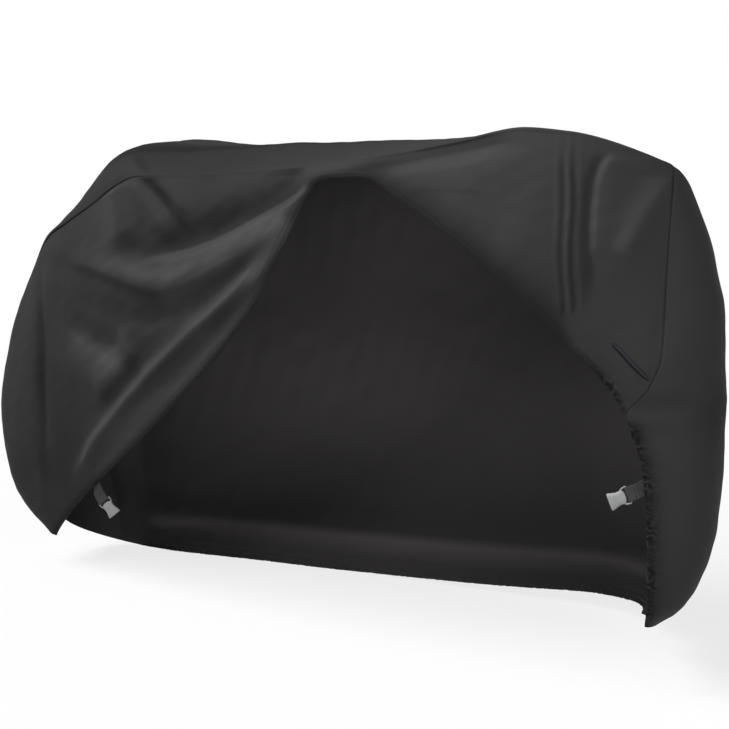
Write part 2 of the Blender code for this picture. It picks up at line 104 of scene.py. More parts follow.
# %% Tables of the seams and hems
ORIGIN = np.array((0.5575, 0.1061, -0.0100))
NEAR_END = 1.0
NEAR_SEAM = (
    (0, -325, 70, 85), (60, -395, 60, 240), (120, -430, 45, 420), (180, -385, 20, 620),
    (240, -239, -30, 787), (280, -148, -60, 823), (330, -8, -100, 878), (365, 103, -130, 926),
    (395, 201, -160, 952), (430, 317, -180, 960), (520, 659, -240, 991), (610, 911, -270, 1019),
    (700, 1206, -260, 1069), (750, 1336, -230, 1096), (790, 1412, -190, 1090),
    (850, 1529, -70, 1036), (865, 1542, -40, 1018), (900, 1539, -50, 856), (950, 1545, -70, 681),
    (980, 1521, -78, 607), (1000, 1474, -83, 552), (1040, 1478, -74, 506), (1080, 1494, -64, 456),
    (1150, 1501, -54, 347), (1230, 1496, -40, 217), (1300, 1480, -15, 126))
TOP_RIDGE = (
    (0, -345, 160, 38), (60, -425, 160, 225), (120, -465, 160, 420), (180, -425, 140, 610),
    (240, -312, 75, 768), (280, -238, 55, 824), (330, -133, 50, 908), (365, -50, 50, 977),
    (395, 55, 60, 1005), (430, 230, 80, 1011), (520, 560, 90, 1032), (610, 880, 80, 1048),
    (700, 1120, 60, 1062), (750, 1240, 60, 1062), (790, 1325, 70, 1042), (850, 1432, 80, 1006),
    (865, 1458, 85, 985), (900, 1530, 90, 835), (950, 1560, 95, 670), (1000, 1570, 95, 560),
    (1080, 1567, 95, 440), (1150, 1548, 95, 320), (1230, 1490, 90, 190), (1300, 1418, 90, 105))
FAR_SEAM = (
    (0, -300, 250, 0), (120, -410, 270, 420), (180, -375, 280, 620), (240, -290, 300, 770),
    (280, -215, 320, 845), (365, -30, 360, 945), (430, 170, 400, 962), (520, 480, 440, 980),
    (610, 760, 455, 995), (750, 1060, 410, 1000), (850, 1235, 320, 955), (865, 1262, 305, 930),
    (900, 1340, 275, 810), (1000, 1395, 250, 540), (1150, 1390, 240, 320), (1300, 1310, 210, 85))
NEAR_HEM = (
    (0, -268, -10, 60), (100, -140, -50, 155), (160, -21, -80, 237), (240, 160, -120, 357),
    (320, 332, -160, 475), (395, 498, -200, 595), (455, 624, -230, 710), (510, 742, -260, 834),
    (545, 806, -280, 911), (575, 854, -290, 972), (605, 917, -300, 991), (635, 988, -300, 994),
    (670, 1081, -300, 952), (710, 1176, -300, 904), (765, 1280, -280, 837),
    (820, 1355, -250, 770), (860, 1386, -210, 722), (900, 1406, -170, 675),
    (940, 1428, -130, 634), (975, 1448, -100, 591), (1000, 1457, -86, 563))
FAR_HEM = (
    (0, -240, 265, -6), (300, -100, 305, -10), (430, 180, 380, -10), (520, 425, 420, -3),
    (610, 700, 455, 10), (750, 959, 480, 30), (865, 1130, 430, 45), (1000, 1220, 350, 55),
    (1300, 1290, 230, 68))
print("rows:", len(NEAR_SEAM), len(TOP_RIDGE), len(FAR_SEAM), len(NEAR_HEM), len(FAR_HEM))

# %% [markdown]
# ## Bellies
#
# Between its seam and its hem a side panel bellies out, by another amount at each station. Two more
# tables hold that, again as rows (u, x, y, z). The far panel is full only from a shoulder below its
# seam down to where its elastic draws it in. The top has one shoulder of its own at the rear.

# %% Tables of the bellies
NEAR_PUFF = (
    (0, -10, -10, 0), (80, -62, -72, 0), (160, -72, -95, 0), (300, -28, -74, 0), (450, 0, -35, 0),
    (620, 0, -4, 0), (800, 8, -22, 0), (900, 15, -26, 0), (1000, 0, -2, 0))
FAR_PUFF = (
    (0, 0, 8, 0), (200, -30, 45, 0), (450, 0, 45, 0), (900, 0, 45, 0), (1050, 10, 30, 0),
    (1300, 0, 6, 0))
FAR_SHOULDER = 0.350
FAR_HEM_DRAW = 0.160
SHOULDER_PLACE = (-0.090, 0.250)
SHOULDER_SPREAD = (0.150, 0.075)
SHOULDER_RISE = 0.040
print("puffs:", len(NEAR_PUFF), len(FAR_PUFF))

# %% [markdown]
# ## Curves
#
# The curve between two rows is a cubic whose slopes are kept small wherever a plain cubic would
# overshoot. It takes a whole array of stations at once, because a sheet has tens of thousands of
# points and a loop over them would be slow.


# %% Curves through the tables
def rail(rows):
    """A curve through the rows, as a function of an array of stations."""
    table = np.array(rows) / 1000.0
    stations, values = table[:, 0], table[:, 1:]
    spans = np.diff(stations)
    rises = np.diff(values, axis=0) / spans[:, None]
    slopes = np.zeros_like(values)
    slopes[0], slopes[-1] = rises[0], rises[-1]
    for k in range(1, len(rows) - 1):
        first = spans[k] + 2.0 * spans[k - 1]
        second = spans[k - 1] + 2.0 * spans[k]
        same_way = rises[k - 1] * rises[k] > 0.0
        left = np.where(same_way, rises[k - 1], 1.0)
        right = np.where(same_way, rises[k], 1.0)
        slopes[k] = np.where(same_way, (first + second) / (second / left + first / right), 0.0)

    def at(u):
        k = np.clip(np.searchsorted(stations, u, side="left") - 1, 0, len(spans) - 1)
        h = spans[k][..., None]
        t = (np.asarray(u)[..., None] - stations[k][..., None]) / h
        ahead = t * t * (3.0 - 2.0 * t)
        return ((1.0 - ahead) * values[k] + ahead * values[k + 1]
                + t * (1.0 - t) ** 2 * h * slopes[k] + t * t * (t - 1.0) * h * slopes[k + 1])

    return at


near_seam, top_ridge, far_seam = rail(NEAR_SEAM), rail(TOP_RIDGE), rail(FAR_SEAM)
near_hem, far_hem = rail(NEAR_HEM), rail(FAR_HEM)
near_puff, far_puff = rail(NEAR_PUFF), rail(FAR_PUFF)
print("middle of the lifted hem:", near_hem(np.array([0.5]))[0] - ORIGIN)

# %% [markdown]
# ## Helpers
#
# Cloth has no hard starts and stops, so nearly every shape below is made of two soft ones: ease goes
# from 0 to 1 and bell rises and dies away. Cloth is never even either, so waver adds seven slow waves
# that run in different directions.

# %% Small helpers for shapes
WAVES = 7
WAVE_TURN = 2.399963


def ease(t):
    """0 to 1 with level ends."""
    t = np.clip(t, 0.0, 1.0)
    return t * t * (3.0 - 2.0 * t)


def bell(t):
    """1 in the middle, dying away on both sides."""
    return np.exp(-t * t)


def arch(t):
    """0 at both ends and 1 in the middle."""
    return 4.0 * t * (1.0 - t)


def size(v):
    """Lengths, kept as one column so that they multiply points."""
    return np.linalg.norm(v, axis=-1, keepdims=True)


def unit(v):
    """Directions of length one."""
    return v / np.maximum(size(v), 1e-12)


def waver(x, y, pitch, seed):
    """A smooth uneven wave between about -1 and 1, with bumps one pitch apart."""
    total = 0.0
    for k in range(WAVES):
        angle = WAVE_TURN * (k + seed)
        turns = (0.72 + 0.13 * ((k * 5 + seed * 3) % WAVES)) / pitch
        way = x * math.cos(angle) + y * math.sin(angle)
        total = total + np.sin(TURN * turns * way + 1.7 * k * k + seed)
    return total / 3.2


def smooth_course(points, steps):
    """Many points of a soft line through a few, in a plane or in space."""
    knots = np.array(points)
    knots = np.concatenate(([2.0 * knots[0] - knots[1]], knots, [2.0 * knots[-1] - knots[-2]]))
    t = np.linspace(0.0, 1.0, steps, endpoint=False)[:, None]
    parts = []
    for a, b, c, d in zip(knots, knots[1:], knots[2:], knots[3:]):
        parts.append(b + 0.5 * t * (c - a + t * (2.0 * a - 5.0 * b + 4.0 * c - d
                                                 + t * (3.0 * (b - c) + d - a))))
    return np.concatenate(parts + [knots[-2:-1]])


print("waver at the origin:", round(float(waver(0.0, 0.0, 0.1, 1)), 3))

# %% [markdown]
# ## Folds of the near panel
#
# The near panel is pulled by its lifted hem, so its cloth falls in swags behind and in upright
# ripples in front. A real fold is steeper on one side than on the other and never ends suddenly. So
# a fold has a width on its left and on its right as one goes along it, a height, and a course through
# a few points (x, z) on the panel, all in millimetres, and it runs out at both ends. A negative
# height is a trough.

# %% Table of the folds
Fold = namedtuple("Fold", "name left right height course")
NEAR_FOLDS = (
    Fold("corner trough", 26, 12, -6, ((215, 955), (270, 930), (325, 905), (390, 880))),
    Fold("corner ridge", 12, 30, 7, ((180, 955), (235, 918), (300, 880), (370, 838))),
    Fold("corner shoulder", 30, 10, 5, ((280, 945), (350, 925), (445, 885))),
    Fold("rear crest", 45, 110, 19, ((100, 1000), (150, 925), (195, 860), (225, 785))),
    Fold("upper swag trough", 50, 12, -20,
         ((300, 790), (420, 812), (530, 845), (670, 900), (795, 955), (850, 975))),
    Fold("upper swag", 38, 22, 19,
         ((-110, 765), (130, 750), (330, 725), (445, 745), (565, 795), (660, 830), (755, 890),
          (830, 945))),
    Fold("under upper swag", 35, 30, -9, ((-40, 690), (215, 645), (425, 690), (570, 765), (675, 835))),
    Fold("over lower swag", 32, 14, -5.5, ((-9, 617), (46, 600), (94, 584), (141, 578), (195, 585))),
    Fold("lower swag", 14, 50, 16, ((245, 585), (190, 530), (120, 480), (55, 435))),
    Fold("long ridge", 24, 16, 20,
         ((-120, 200), (-30, 275), (90, 380), (235, 490), (370, 580), (475, 650), (575, 715),
          (670, 780), (745, 840), (795, 895), (850, 960))),
    Fold("by long ridge", 16, 30, -10,
         ((200, 435), (400, 585), (520, 665), (620, 740), (695, 805), (760, 865))),
    Fold("rear upright trough", 17, 20, -7, ((-210, 730), (-140, 585), (-145, 420), (-185, 250))),
    Fold("front ripple 1", 4, 4, 2.2,
         ((1397, 1085), (1411.5, 964), (1411, 870), (1407.5, 776), (1400, 735))),
    Fold("front ripple 2", 4, 4, 3, ((1415, 1085), (1429, 964), (1427, 870), (1422, 776), (1417, 745))),
    Fold("front ripple 3", 4, 4, 2.2,
         ((1432, 1085), (1444, 964), (1442, 870), (1437, 776), (1433, 750))),
    Fold("bowed trough", 7, 6, -4.5,
         ((1463, 1054), (1454.5, 1010), (1452, 954), (1450, 854), (1443, 752))),
    Fold("bowed crest", 30, 9, 6.5,
         ((1484, 1052), (1474, 1016), (1470, 964), (1468, 880), (1462, 796))),
    Fold("front corner crest", 12, 22, 8,
         ((1542, 1010), (1528, 970), (1518, 936), (1504, 888), (1496, 846))),
    Fold("over front swell", 16, 14, -6, ((940, 1002), (1074, 1025), (1213, 1053), (1347, 1080))),
    Fold("front swell", 15, 40, 4.5, ((1020, 980), (1131, 1002), (1266, 1026), (1379, 1056))))
FOLD_FADES = (0.14, 0.25)
print("folds:", len(NEAR_FOLDS))

# %% [markdown]
# ## Faded and dark patches
#
# The light and shade of the folds are partly painted into the cloth's colour. Each large fold has a soft
# patch of painted highlight or painted shade beside it, written in the same way, with thousandths in place
# of the height: lighter by that share, or darker if negative.
# On the gusset a course is its station and the share of the way across, in thousandths. One unit of
# station is about 3 m of cloth and the whole width about 0.65 m, so that its widths are lengths too.

# %% Table of the painted highlights and painted shade
# Painted highlights (lighter) and painted shade (darker) beside the near panel's folds.
NEAR_PAINTED_LIGHT = (
    Fold("swag face", 28, 28, 300,
         ((-52, 764), (124, 752), (252, 748), (374, 757), (485, 792), (606, 836), (714, 881),
          (814, 933))),
    Fold("over swag", 30, 22, -300,
         ((148, 798), (310, 811), (446, 854), (586, 894), (731, 927), (834, 963))),
    Fold("rear facet", 12, 110, 300, ((60, 1020), (114, 930), (158, 867), (180, 788))),
    Fold("behind the crest", 40, 40, -100, ((281, 907), (263, 846), (244, 797))),
    Fold("lower swag face", 11, 40, 700,
         ((-22, 596), (31, 576), (77, 560), (121, 549), (163, 548), (209, 562))),
    Fold("lower strip", 26, 22, 620,
         ((-120, 195), (41, 300), (218, 418), (378, 525), (513, 623), (627, 723), (690, 791))),
    Fold("rear middle", 70, 70, -220, ((-132, 687), (29, 657), (187, 627), (326, 640), (435, 678))),
    Fold("rear edge", 110, 110, -240,
         ((-300, 720), (-350, 560), (-360, 400), (-330, 240), (-290, 140))),
    Fold("ridge top end", 17, 14, 1250, ((617, 744), (669, 794), (709, 830), (752, 870), (792, 909))),
    Fold("rear upper side", 50, 40, -160, ((-169, 736), (-81, 771), (25, 789), (126, 796))),
    Fold("rear side", 50, 50, -200, ((-177, 415), (-142, 537), (-105, 645), (-100, 719))),
    Fold("below the corner", 28, 28, -150, ((221, 929), (281, 911), (338, 885))),
    Fold("rear line", 11, 11, -200, ((-165, 691), (-159, 628), (-152, 548), (-145, 455), (-157, 345))),
    Fold("rear low", 80, 110, -200, ((-53, 547), (-68, 428), (-116, 301), (-196, 164))),
    Fold("under swag", 22, 26, -120, ((-287, 750), (-13, 741), (145, 715), (269, 690))),
    Fold("under swag front", 18, 18, 950, ((305, 695), (395, 712), (469, 737), (539, 778), (627, 814))),
    Fold("long ridge top", 18, 10, 150,
         ((-63, 278), (72, 381), (215, 486), (351, 579), (458, 647), (557, 711), (652, 778),
          (731, 838), (792, 894))),
    Fold("below long ridge", 14, 16, 660,
         ((20, 317), (127, 391), (239, 469), (346, 545), (449, 618), (532, 684))),
    Fold("rear upright", 18, 14, -220,
         ((-248, 741), (-145, 583), (-148, 419), (-198, 241), (-257, 116))),
    Fold("corner trough", 20, 5, -450, ((203, 949), (270, 932), (335, 904), (394, 874), (433, 849))),
    Fold("corner ridge", 4, 12, 120, ((183, 949), (240, 939), (310, 896), (368, 853), (384, 837))),
    Fold("over front swell", 10, 8, -350, ((943, 1002), (1074, 1025), (1213, 1053), (1347, 1080))),
    Fold("front swell", 12, 30, 60, ((1020, 987), (1131, 1005), (1266, 1029), (1379, 1058))),
    Fold("ripple 1", 2.5, 2.5, -350,
         ((1403, 1085), (1417, 964), (1416, 870), (1412, 776), (1405, 735))),
    Fold("ripple 2", 3, 3, -400, ((1419, 1085), (1433, 964), (1431, 870), (1426, 776), (1421, 745))),
    Fold("ripple 3", 2.5, 2.5, 120, ((1411, 1085), (1425, 964), (1423, 870), (1418, 776), (1413, 745))),
    Fold("thin front crease", 4, 4, -150, ((1101, 972), (1209, 975), (1298, 975))),
    Fold("bowed crest", 16, 10, 150,
         ((1478, 1051), (1468, 1016), (1467, 964), (1467, 871), (1460, 776))),
    Fold("bowed trough", 8, 8, -300,
         ((1463, 1054), (1454, 1010), (1451, 953), (1451, 852), (1443, 753))),
    Fold("front corner", 10, 14, 550,
         ((1538, 1011), (1523, 969), (1512, 937), (1501, 892), (1491, 851))))
NEAR_PAINTED_LIGHT_FADES = (0.18, 0.18)
# Painted highlights and painted shade on the gusset, among them the dark band on its top and the light
# hump behind it.
GUSSET_PAINTED_LIGHT = (
    Fold("top hollow", 70, 50, -400,
         ((330, 300), (370, 300), (410, 340), (450, 410), (500, 460), (600, 490), (700, 460))),
    Fold("shoulder", 60, 50, 400, ((350, 620), (385, 620), (420, 600), (450, 580))),
    Fold("top strip", 60, 60, 20, ((340, 80), (390, 80), (460, 100), (560, 100))),
    Fold("corner ridge", 10, 10, 150, ((386, 240), (393, 120), (400, 0))),
    Fold("corner trough", 12, 12, -350, ((393, 240), (402, 120), (411, 0))),
    Fold("front edge", 120, 120, -350, ((910, 550), (950, 500), (1000, 500), (1060, 550))))
GUSSET_PAINTED_LIGHT_FADES = (0.30, 0.30)
GUSSET_SCALE = (3.0, 0.65)
print("patches:", len(NEAR_PAINTED_LIGHT), len(GUSSET_PAINTED_LIGHT))

# %% [markdown]
# ## Height of the folds
#
# A point's lift from one fold depends on its distance from the course, on the side it lies on and on
# how far along it is: it fades over a share of its length at each end, down to a tenth. Points well
# away from a course are skipped, which keeps this quick.

# %% Height of the folds at a point
COURSE_STEPS = 8
END_SHARE = 0.1


def fold_lift(x, z, folds, fades, scale=(1.0, 1.0)):
    """Sum of all folds at points (x, z)."""
    lift = np.zeros(x.shape)
    for fold in folds:
        course = smooth_course(np.array(fold.course) / 1000.0 * scale, COURSE_STEPS)
        left, right, height = np.array((fold.left, fold.right, fold.height)) / 1000.0
        margin = 3.0 * max(left, right)
        low, high = course.min(axis=0) - margin, course.max(axis=0) + margin
        close = (x > low[0]) & (x < high[0]) & (z > low[1]) & (z < high[1])
        px, pz = x[close], z[close]
        best, place, side = np.full(px.shape, np.inf), np.zeros(px.shape), np.zeros(px.shape)
        for k in range(len(course) - 1):
            step = course[k + 1] - course[k]
            east, up = px - course[k, 0], pz - course[k, 1]
            t = np.clip((east * step[0] + up * step[1]) / (step @ step), 0.0, 1.0)
            gap = np.hypot(east - t * step[0], up - t * step[1])
            nearer = gap < best
            best = np.where(nearer, gap, best)
            place = np.where(nearer, (k + t) / (len(course) - 1), place)
            square = (step[0] * up - step[1] * east) / math.hypot(*step)
            side = np.where(nearer, square / np.maximum(gap, 1e-9), side)
        width = right + (left - right) * (0.5 + 0.5 * np.clip(side, -1.0, 1.0))
        runout = ease(place / fades[0]) * ease((1.0 - place) / fades[1])
        lift[close] += height * bell(best / width) * (END_SHARE + (1.0 - END_SHARE) * runout)
    return lift


def near_folds(x, z):
    """Height of the near panel's folds."""
    return fold_lift(x, z, NEAR_FOLDS, FOLD_FADES)


print("lift on the long ridge:", near_folds(np.array([0.37]), np.array([0.58])))

# %% [markdown]
# ## Faces of the three cloths
#
# Each face is a function of the station u and of a share v or w from one edge to the other. A seam
# holds its cloth flat, so the folds of the near panel reach their full height 22 mm from it at the
# rear and 8 mm from it in front, and its hem lets 40% of them through to the edge. The gusset goes
# over the ridge in a soft arch.

# %% Faces of the three cloths
HELD_AT_SEAM = (0.022, 0.008)
HELD_AT_HEM = 0.035
LET_THROUGH = 0.4
ARCH_POWER = 0.85


def near_face(u, v, folded=True):
    """Outer face of the near side panel, v from seam to hem."""
    seam, hem, puff = near_seam(u), near_hem(u), near_puff(u)
    v = v[..., None]
    point = seam * (1.0 - v) + hem * v + puff * arch(v)
    if not folded:
        return point
    outward = unit(puff + np.array((0.0, -0.02, 0.0)))
    reach = size(seam - hem)
    rear, front = HELD_AT_SEAM
    hold = ease(v * reach / (rear - (rear - front) * ease((u[..., None] - 0.55) / 0.1)))
    hold = hold * (LET_THROUGH + (1.0 - LET_THROUGH) * ease((1.0 - v) * reach / HELD_AT_HEM))
    x, z = point[..., 0], point[..., 2]
    lift = near_folds(x, z) + 1.6 * MM * waver(x, z, 0.16, 3) + 0.5 * MM * waver(x, z, 0.05, 8)
    return point + outward * lift[..., None] * hold


def gusset_face(u, w):
    """Outer face of the gusset, w from the near seam over the ridge to the far seam."""
    near, far = near_seam(u), far_seam(u)
    rise = top_ridge(u) - (near + far) / 2.0
    w = w[..., None]
    point = near * (1.0 - w) + far * w + rise * np.maximum(arch(w), 0.0) ** ARCH_POWER
    east = (point[..., 0] - SHOULDER_PLACE[0]) / SHOULDER_SPREAD[0]
    north = (point[..., 1] - SHOULDER_PLACE[1]) / SHOULDER_SPREAD[1]
    bump = SHOULDER_RISE * bell(east) * bell(north) * ease((u - 0.2) / 0.12)
    return point + np.array((0.0, 0.0, 1.0)) * bump[..., None] * ease(arch(w))


def far_face(u, v):
    """Outer face of the far side panel, v from seam to hem; the hem draws the cloth in."""
    seam, hem = far_seam(u), far_hem(u)
    reach = size(seam - hem)
    v = v[..., None]
    belly = ease((1.0 - v) * reach / FAR_HEM_DRAW) * ease(v * reach / FAR_SHOULDER)
    return seam * (1.0 - v) + hem * v + far_puff(u) * belly


print("near panel at its middle:", near_face(np.array([0.5]), np.array([0.5])))

# %% [markdown]
# ## Grids
#
# Each cloth is a grid of threads from one edge to the other. Rows of the grid are close together at
# the edges, where the small shapes are, and wider apart between them. A grid also keeps its outward
# directions and the lengths run along and across it, which place the gathers and the weave.

# %% Lay out a grid
Grid = namedtuple("Grid", "stations u v points out down away run")


def spread(*bands):
    """Stations in bands, each given as its start, its end and its number of steps."""
    parts = [np.linspace(start, end, steps + 1)[:-1] for start, end, steps in bands]
    return np.concatenate(parts + [[bands[-1][1]]])


def shares_between(reach, from_first, from_last, middle):
    """Shares of the way across: fixed distances at both edges and even steps between them."""
    first, last = np.array(from_first)[None, :] * MM, np.array(from_last)[None, ::-1] * MM
    squeeze = np.minimum(1.0, 0.8 * reach / (first.max() + last.max()))
    first, last = first * squeeze / reach, 1.0 - last * squeeze / reach
    even = np.linspace(0.0, 1.0, middle + 1)[None, 1:-1]
    return np.concatenate((first, first[:, -1:] * (1.0 - even) + last[:, :1] * even, last), axis=1)


def outward_of(points, sign):
    """Outward directions over a grid of points."""
    return unit(np.cross(np.gradient(points, axis=0), np.gradient(points, axis=1))) * sign


def length_run(points, axis):
    """Length run along a grid (axis 0) or across it (axis 1), in metres."""
    steps = np.linalg.norm(np.diff(points, axis=axis), axis=-1)
    return np.insert(np.cumsum(steps, axis=axis), 0, 0.0, axis=axis)


def lay_out(face, first_edge, last_edge, sign, bands, from_first, from_last, middle):
    """The grid of one cloth between two of its edges."""
    stations = spread(*bands)
    reach = size(first_edge(stations) - last_edge(stations))
    v = shares_between(reach, from_first, from_last, middle)
    u = np.repeat(stations[:, None], v.shape[1], axis=1)
    points = face(u, v)
    down = length_run(points, 1)
    return Grid(stations, u, v, points, outward_of(points, sign), down, down[:, -1:] - down,
                length_run(points, 0))


print("stations in two bands:", spread((0.0, 0.5, 2), (0.5, 1.0, 4)))

# %% [markdown]
# ## Seams and gathers
#
# Two things make sewn cloth look sewn. At a seam the cloth dips into a narrow groove, with a soft
# lip on each side where it turns under. At a hem the elastic inside draws the edge up, so the cloth
# stands in small puckers that die away within two or three centimetres. Puckers are never even: they
# come in clumps, some long and some short, so their spacing, depth and length all waver. The rows of
# a grid beside a seam and beside a hem are given in millimetres from it.

# %% Shapes of seams and hems
CLOTH_THICK = 2.0 * MM
HEM_THICK = 4.5 * MM
HEM_DEPTH = 22.0 * MM
HEM_ROUND = 2.6 * MM
COARSE, FINE = 20.5 * MM, 9.3 * MM
SEAM_ROWS = (0.0, 0.9, 1.9, 3.1, 4.6, 6.4, 8.8, 12.0, 17.0, 25.0)
HEM_ROWS = (0.0, 0.4, 1.1, 2.2, 3.8, 6.0, 8.5, 11.0, 12.7, 13.7, 14.5, 15.3, 16.4, 18.5, 22.0,
            27.0, 34.0)


def seam_lip(gap):
    """Height of the lip beside a seam at a distance from it."""
    return 0.8 * MM * bell((gap - 5.5 * MM) / (3.0 * MM))


def seam_groove(gap):
    """Depth of the groove at a seam."""
    return 0.7 * MM * bell(gap / (1.3 * MM))


def pucker_wave(run, away, pitch, seed):
    """The ups and downs of gathered cloth, which lean as they leave the hem, and their clumps."""
    lean = away / 0.011 * np.sin(TURN * run / 0.041 + seed)
    lean = lean + 1.2 * np.sin(TURN * (away / 0.018 + run / 0.033) + 2.0 * seed)
    phase = TURN * (run / pitch + 0.30 * np.sin(TURN * run / 0.131 + seed)
                    + 0.17 * np.sin(TURN * run / 0.053 + 2.0 * seed)) + lean
    clump = 0.60 + 0.40 * np.sin(TURN * run / 0.093 + 3.0 * seed)
    return (2.2 * np.exp(1.4 * (np.sin(phase) - 1.0)) - 0.8) * clump


def puckers(run, away, pitch, depth, length, seed):
    """How far gathered cloth stands out, at a run along the hem and a distance from it."""
    reach = length * (1.0 + 0.45 * np.sin(TURN * run / 0.067 + seed))
    return depth * pucker_wave(run, away, pitch, seed) * np.exp(-away / reach)


def gathers(run, away):
    """Coarse and fine puckers together, as elastic draws them up."""
    fine = puckers(run, away, FINE, 1.9 * MM, 8.0 * MM, 4.0) * bell((away - 5.0 * MM) / (12.0 * MM))
    return puckers(run, away, COARSE, 4.0 * MM, 10.0 * MM, 1.0) + fine


def gathers_painted_light(run, away):
    """Painted shade in the hollows of gathered cloth and painted highlights on its few sharp crests."""
    crest = pucker_wave(run, away, COARSE, 1.0) + 0.6 * pucker_wave(run, away, FINE, 4.0)
    return bell(away / (21.0 * MM)) * (0.60 * np.clip(crest, -0.9, 1.3) - 0.45)


def rolled_hem(away, draw):
    """Inward roll of an elastic hem, its channel and its row of stitches."""
    roll = -draw * bell(away / (9.0 * MM))
    channel = 1.2 * MM * bell((away - 7.0 * MM) / (5.0 * MM))
    stitches = -0.7 * MM * bell((away - 14.5 * MM) / (1.4 * MM))
    return roll + channel + stitches


def both_faces(outer, outward, away):
    """Outer and inner face of a sheet that thickens into its rolled hem, whose edge is round."""
    full = CLOTH_THICK + (HEM_THICK - CLOTH_THICK) * ease(1.0 - away / HEM_DEPTH)
    bend = 1.0 - np.clip(away / HEM_ROUND, 0.0, 1.0)
    sink = full * (1.0 - np.sqrt(1.0 - 0.93 * bend * bend)) / 2.0
    return outer - outward * sink[..., None], outer - outward * (full - sink)[..., None]


print("groove at a seam:", float(seam_groove(0.0)), "m deep")

# %% [markdown]
# Both cloths dip at a seam by the same amount in the same direction, midway between their own
# outward directions, because only then do their edges stay together.

# %% Direction of the groove between two cloths
SMALL_STEP = 0.004
Side = namedtuple("Side", "face sign gusset_edge")
NEAR_SIDE = Side(near_face, -1.0, 0.0)
FAR_SIDE = Side(far_face, 1.0, 1.0)


def groove_at(stations, side, depth):
    """The dip of a groove of some depth between a side panel and the gusset."""
    side_stations = np.minimum(stations, NEAR_END - SMALL_STEP) if side is NEAR_SIDE else stations
    ways = []
    for face, edge, u, sign in ((side.face, 0.0, side_stations, side.sign),
                                (gusset_face, side.gusset_edge, stations, 1.0)):
        inward = SMALL_STEP if edge < 0.5 else -SMALL_STEP
        here = face(u, np.full(u.shape, edge))
        along = face(u + SMALL_STEP, np.full(u.shape, edge)) - here
        across = (face(u, np.full(u.shape, edge + inward)) - here) * math.copysign(1.0, inward)
        ways.append(unit(np.cross(along, across)) * sign)
    return unit(ways[0] + ways[1])[:, None] * depth[..., None]


print("groove half way along the near seam:",
      groove_at(np.array([0.5]), NEAR_SIDE, seam_groove(np.zeros((1, 1))))[0, 0])

# %% [markdown]
# ## A sheet as a mesh
#
# Cloth is thin but not paper: a closed sheet with an outer face, an inner face and the edges between them
# catches light at its hem as the real one does. The outer and inner faces get a finish each, because the
# coating is on the inside. Each point also keeps its place in the cloth, in metres along and across, its
# share of painted highlight or painted shade, and how far it is from the seam and the hem. Weave, stitches
# and the painted highlights and shade are placed by these later, so they follow the folds.


# %% Build a closed sheet
def together(*parts):
    """Several numbers at each point."""
    return np.stack(np.broadcast_arrays(*parts), axis=-1)


def riding_piece(mesh, sharp_degrees):
    """A piece with outward faces and smooth shading that rides on the root."""
    turned = bmesh.new()
    turned.from_mesh(mesh)
    bmesh.ops.recalc_face_normals(turned, faces=turned.faces[:])
    turned.to_mesh(mesh)
    turned.free()
    mesh.shade_smooth()
    mesh.set_sharp_from_angle(angle=math.radians(sharp_degrees))
    piece = bpy.data.objects.new(mesh.name, mesh)
    bpy.context.collection.objects.link(piece)
    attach(piece, "root")
    print(piece.name, "has", len(mesh.polygons), "faces")
    return piece


def closed_sheet(name, outer, inner, finishes, lay, edges, inner_painted_light=0.0):
    """A closed sheet between two grids of points."""
    rows, lines = outer.shape[:2]
    count = rows * lines
    index = np.arange(count).reshape(rows, lines)
    top = together(index[:-1, :-1], index[1:, :-1], index[1:, 1:], index[:-1, 1:]).reshape(-1, 4)
    rims = [together(line[:-1], line[1:], line[1:] + count, line[:-1] + count)
            for line in (index[0, :], index[:, -1], index[-1, ::-1], index[::-1, 0])]
    faces = np.concatenate([top, top[:, ::-1] + count] + rims)
    points = np.concatenate((outer.reshape(-1, 3), inner.reshape(-1, 3))) - ORIGIN
    mesh = bpy.data.meshes.new(name)
    mesh.from_pydata(points.tolist(), [], faces.tolist())
    inside = np.zeros(len(faces), dtype=np.int32)
    inside[len(top):2 * len(top)] = len(finishes) - 1
    for finish in finishes:
        mesh.materials.append(finish)
    mesh.polygons.foreach_set("material_index", inside)
    under_lay = lay.copy()
    under_lay[..., 2] = inner_painted_light
    for label, above, below in (("lay", lay, under_lay), ("edges", edges, edges)):
        both = np.concatenate((above.reshape(-1, 3), below.reshape(-1, 3)))
        mesh.attributes.new(label, "FLOAT_VECTOR", "POINT").data.foreach_set("vector", both.ravel())
    mesh.validate()
    return riding_piece(mesh, 70.0)


print("sheets can be built")

# %% [markdown]
# ## Writing finishes as sums
#
# A finish is a tree of nodes, and most of it is arithmetic on numbers that change over the surface.
# A small class wraps a socket so that such arithmetic reads like a sum: 1 - mask adds the Math node
# for it. Colours and vectors never go through a Math node, which would turn them grey.


# %% A socket that can be added up
class Field:
    """A number that changes over a surface."""

    def __init__(self, finish, socket):
        self.finish = finish
        self.socket = socket

    def sum_of(self, operation, first, second):
        """One Math node."""
        return self.finish.node("ShaderNodeMath", {"operation": operation}, {0: first, 1: second})

    def __add__(self, other):
        return self.sum_of("ADD", self, other)

    def __sub__(self, other):
        return self.sum_of("SUBTRACT", self, other)

    def __rsub__(self, other):
        return self.sum_of("SUBTRACT", other, self)

    def __mul__(self, other):
        return self.sum_of("MULTIPLY", self, other)

    __radd__ = __add__
    __rmul__ = __mul__


print("sums can be written")

# %% [markdown]
# A finish keeps its own tree and adds any node by one method, which takes the node's type, its
# settings and its sockets. The other methods are short ways to write the few nodes that cloth,
# webbing and plastic all need.


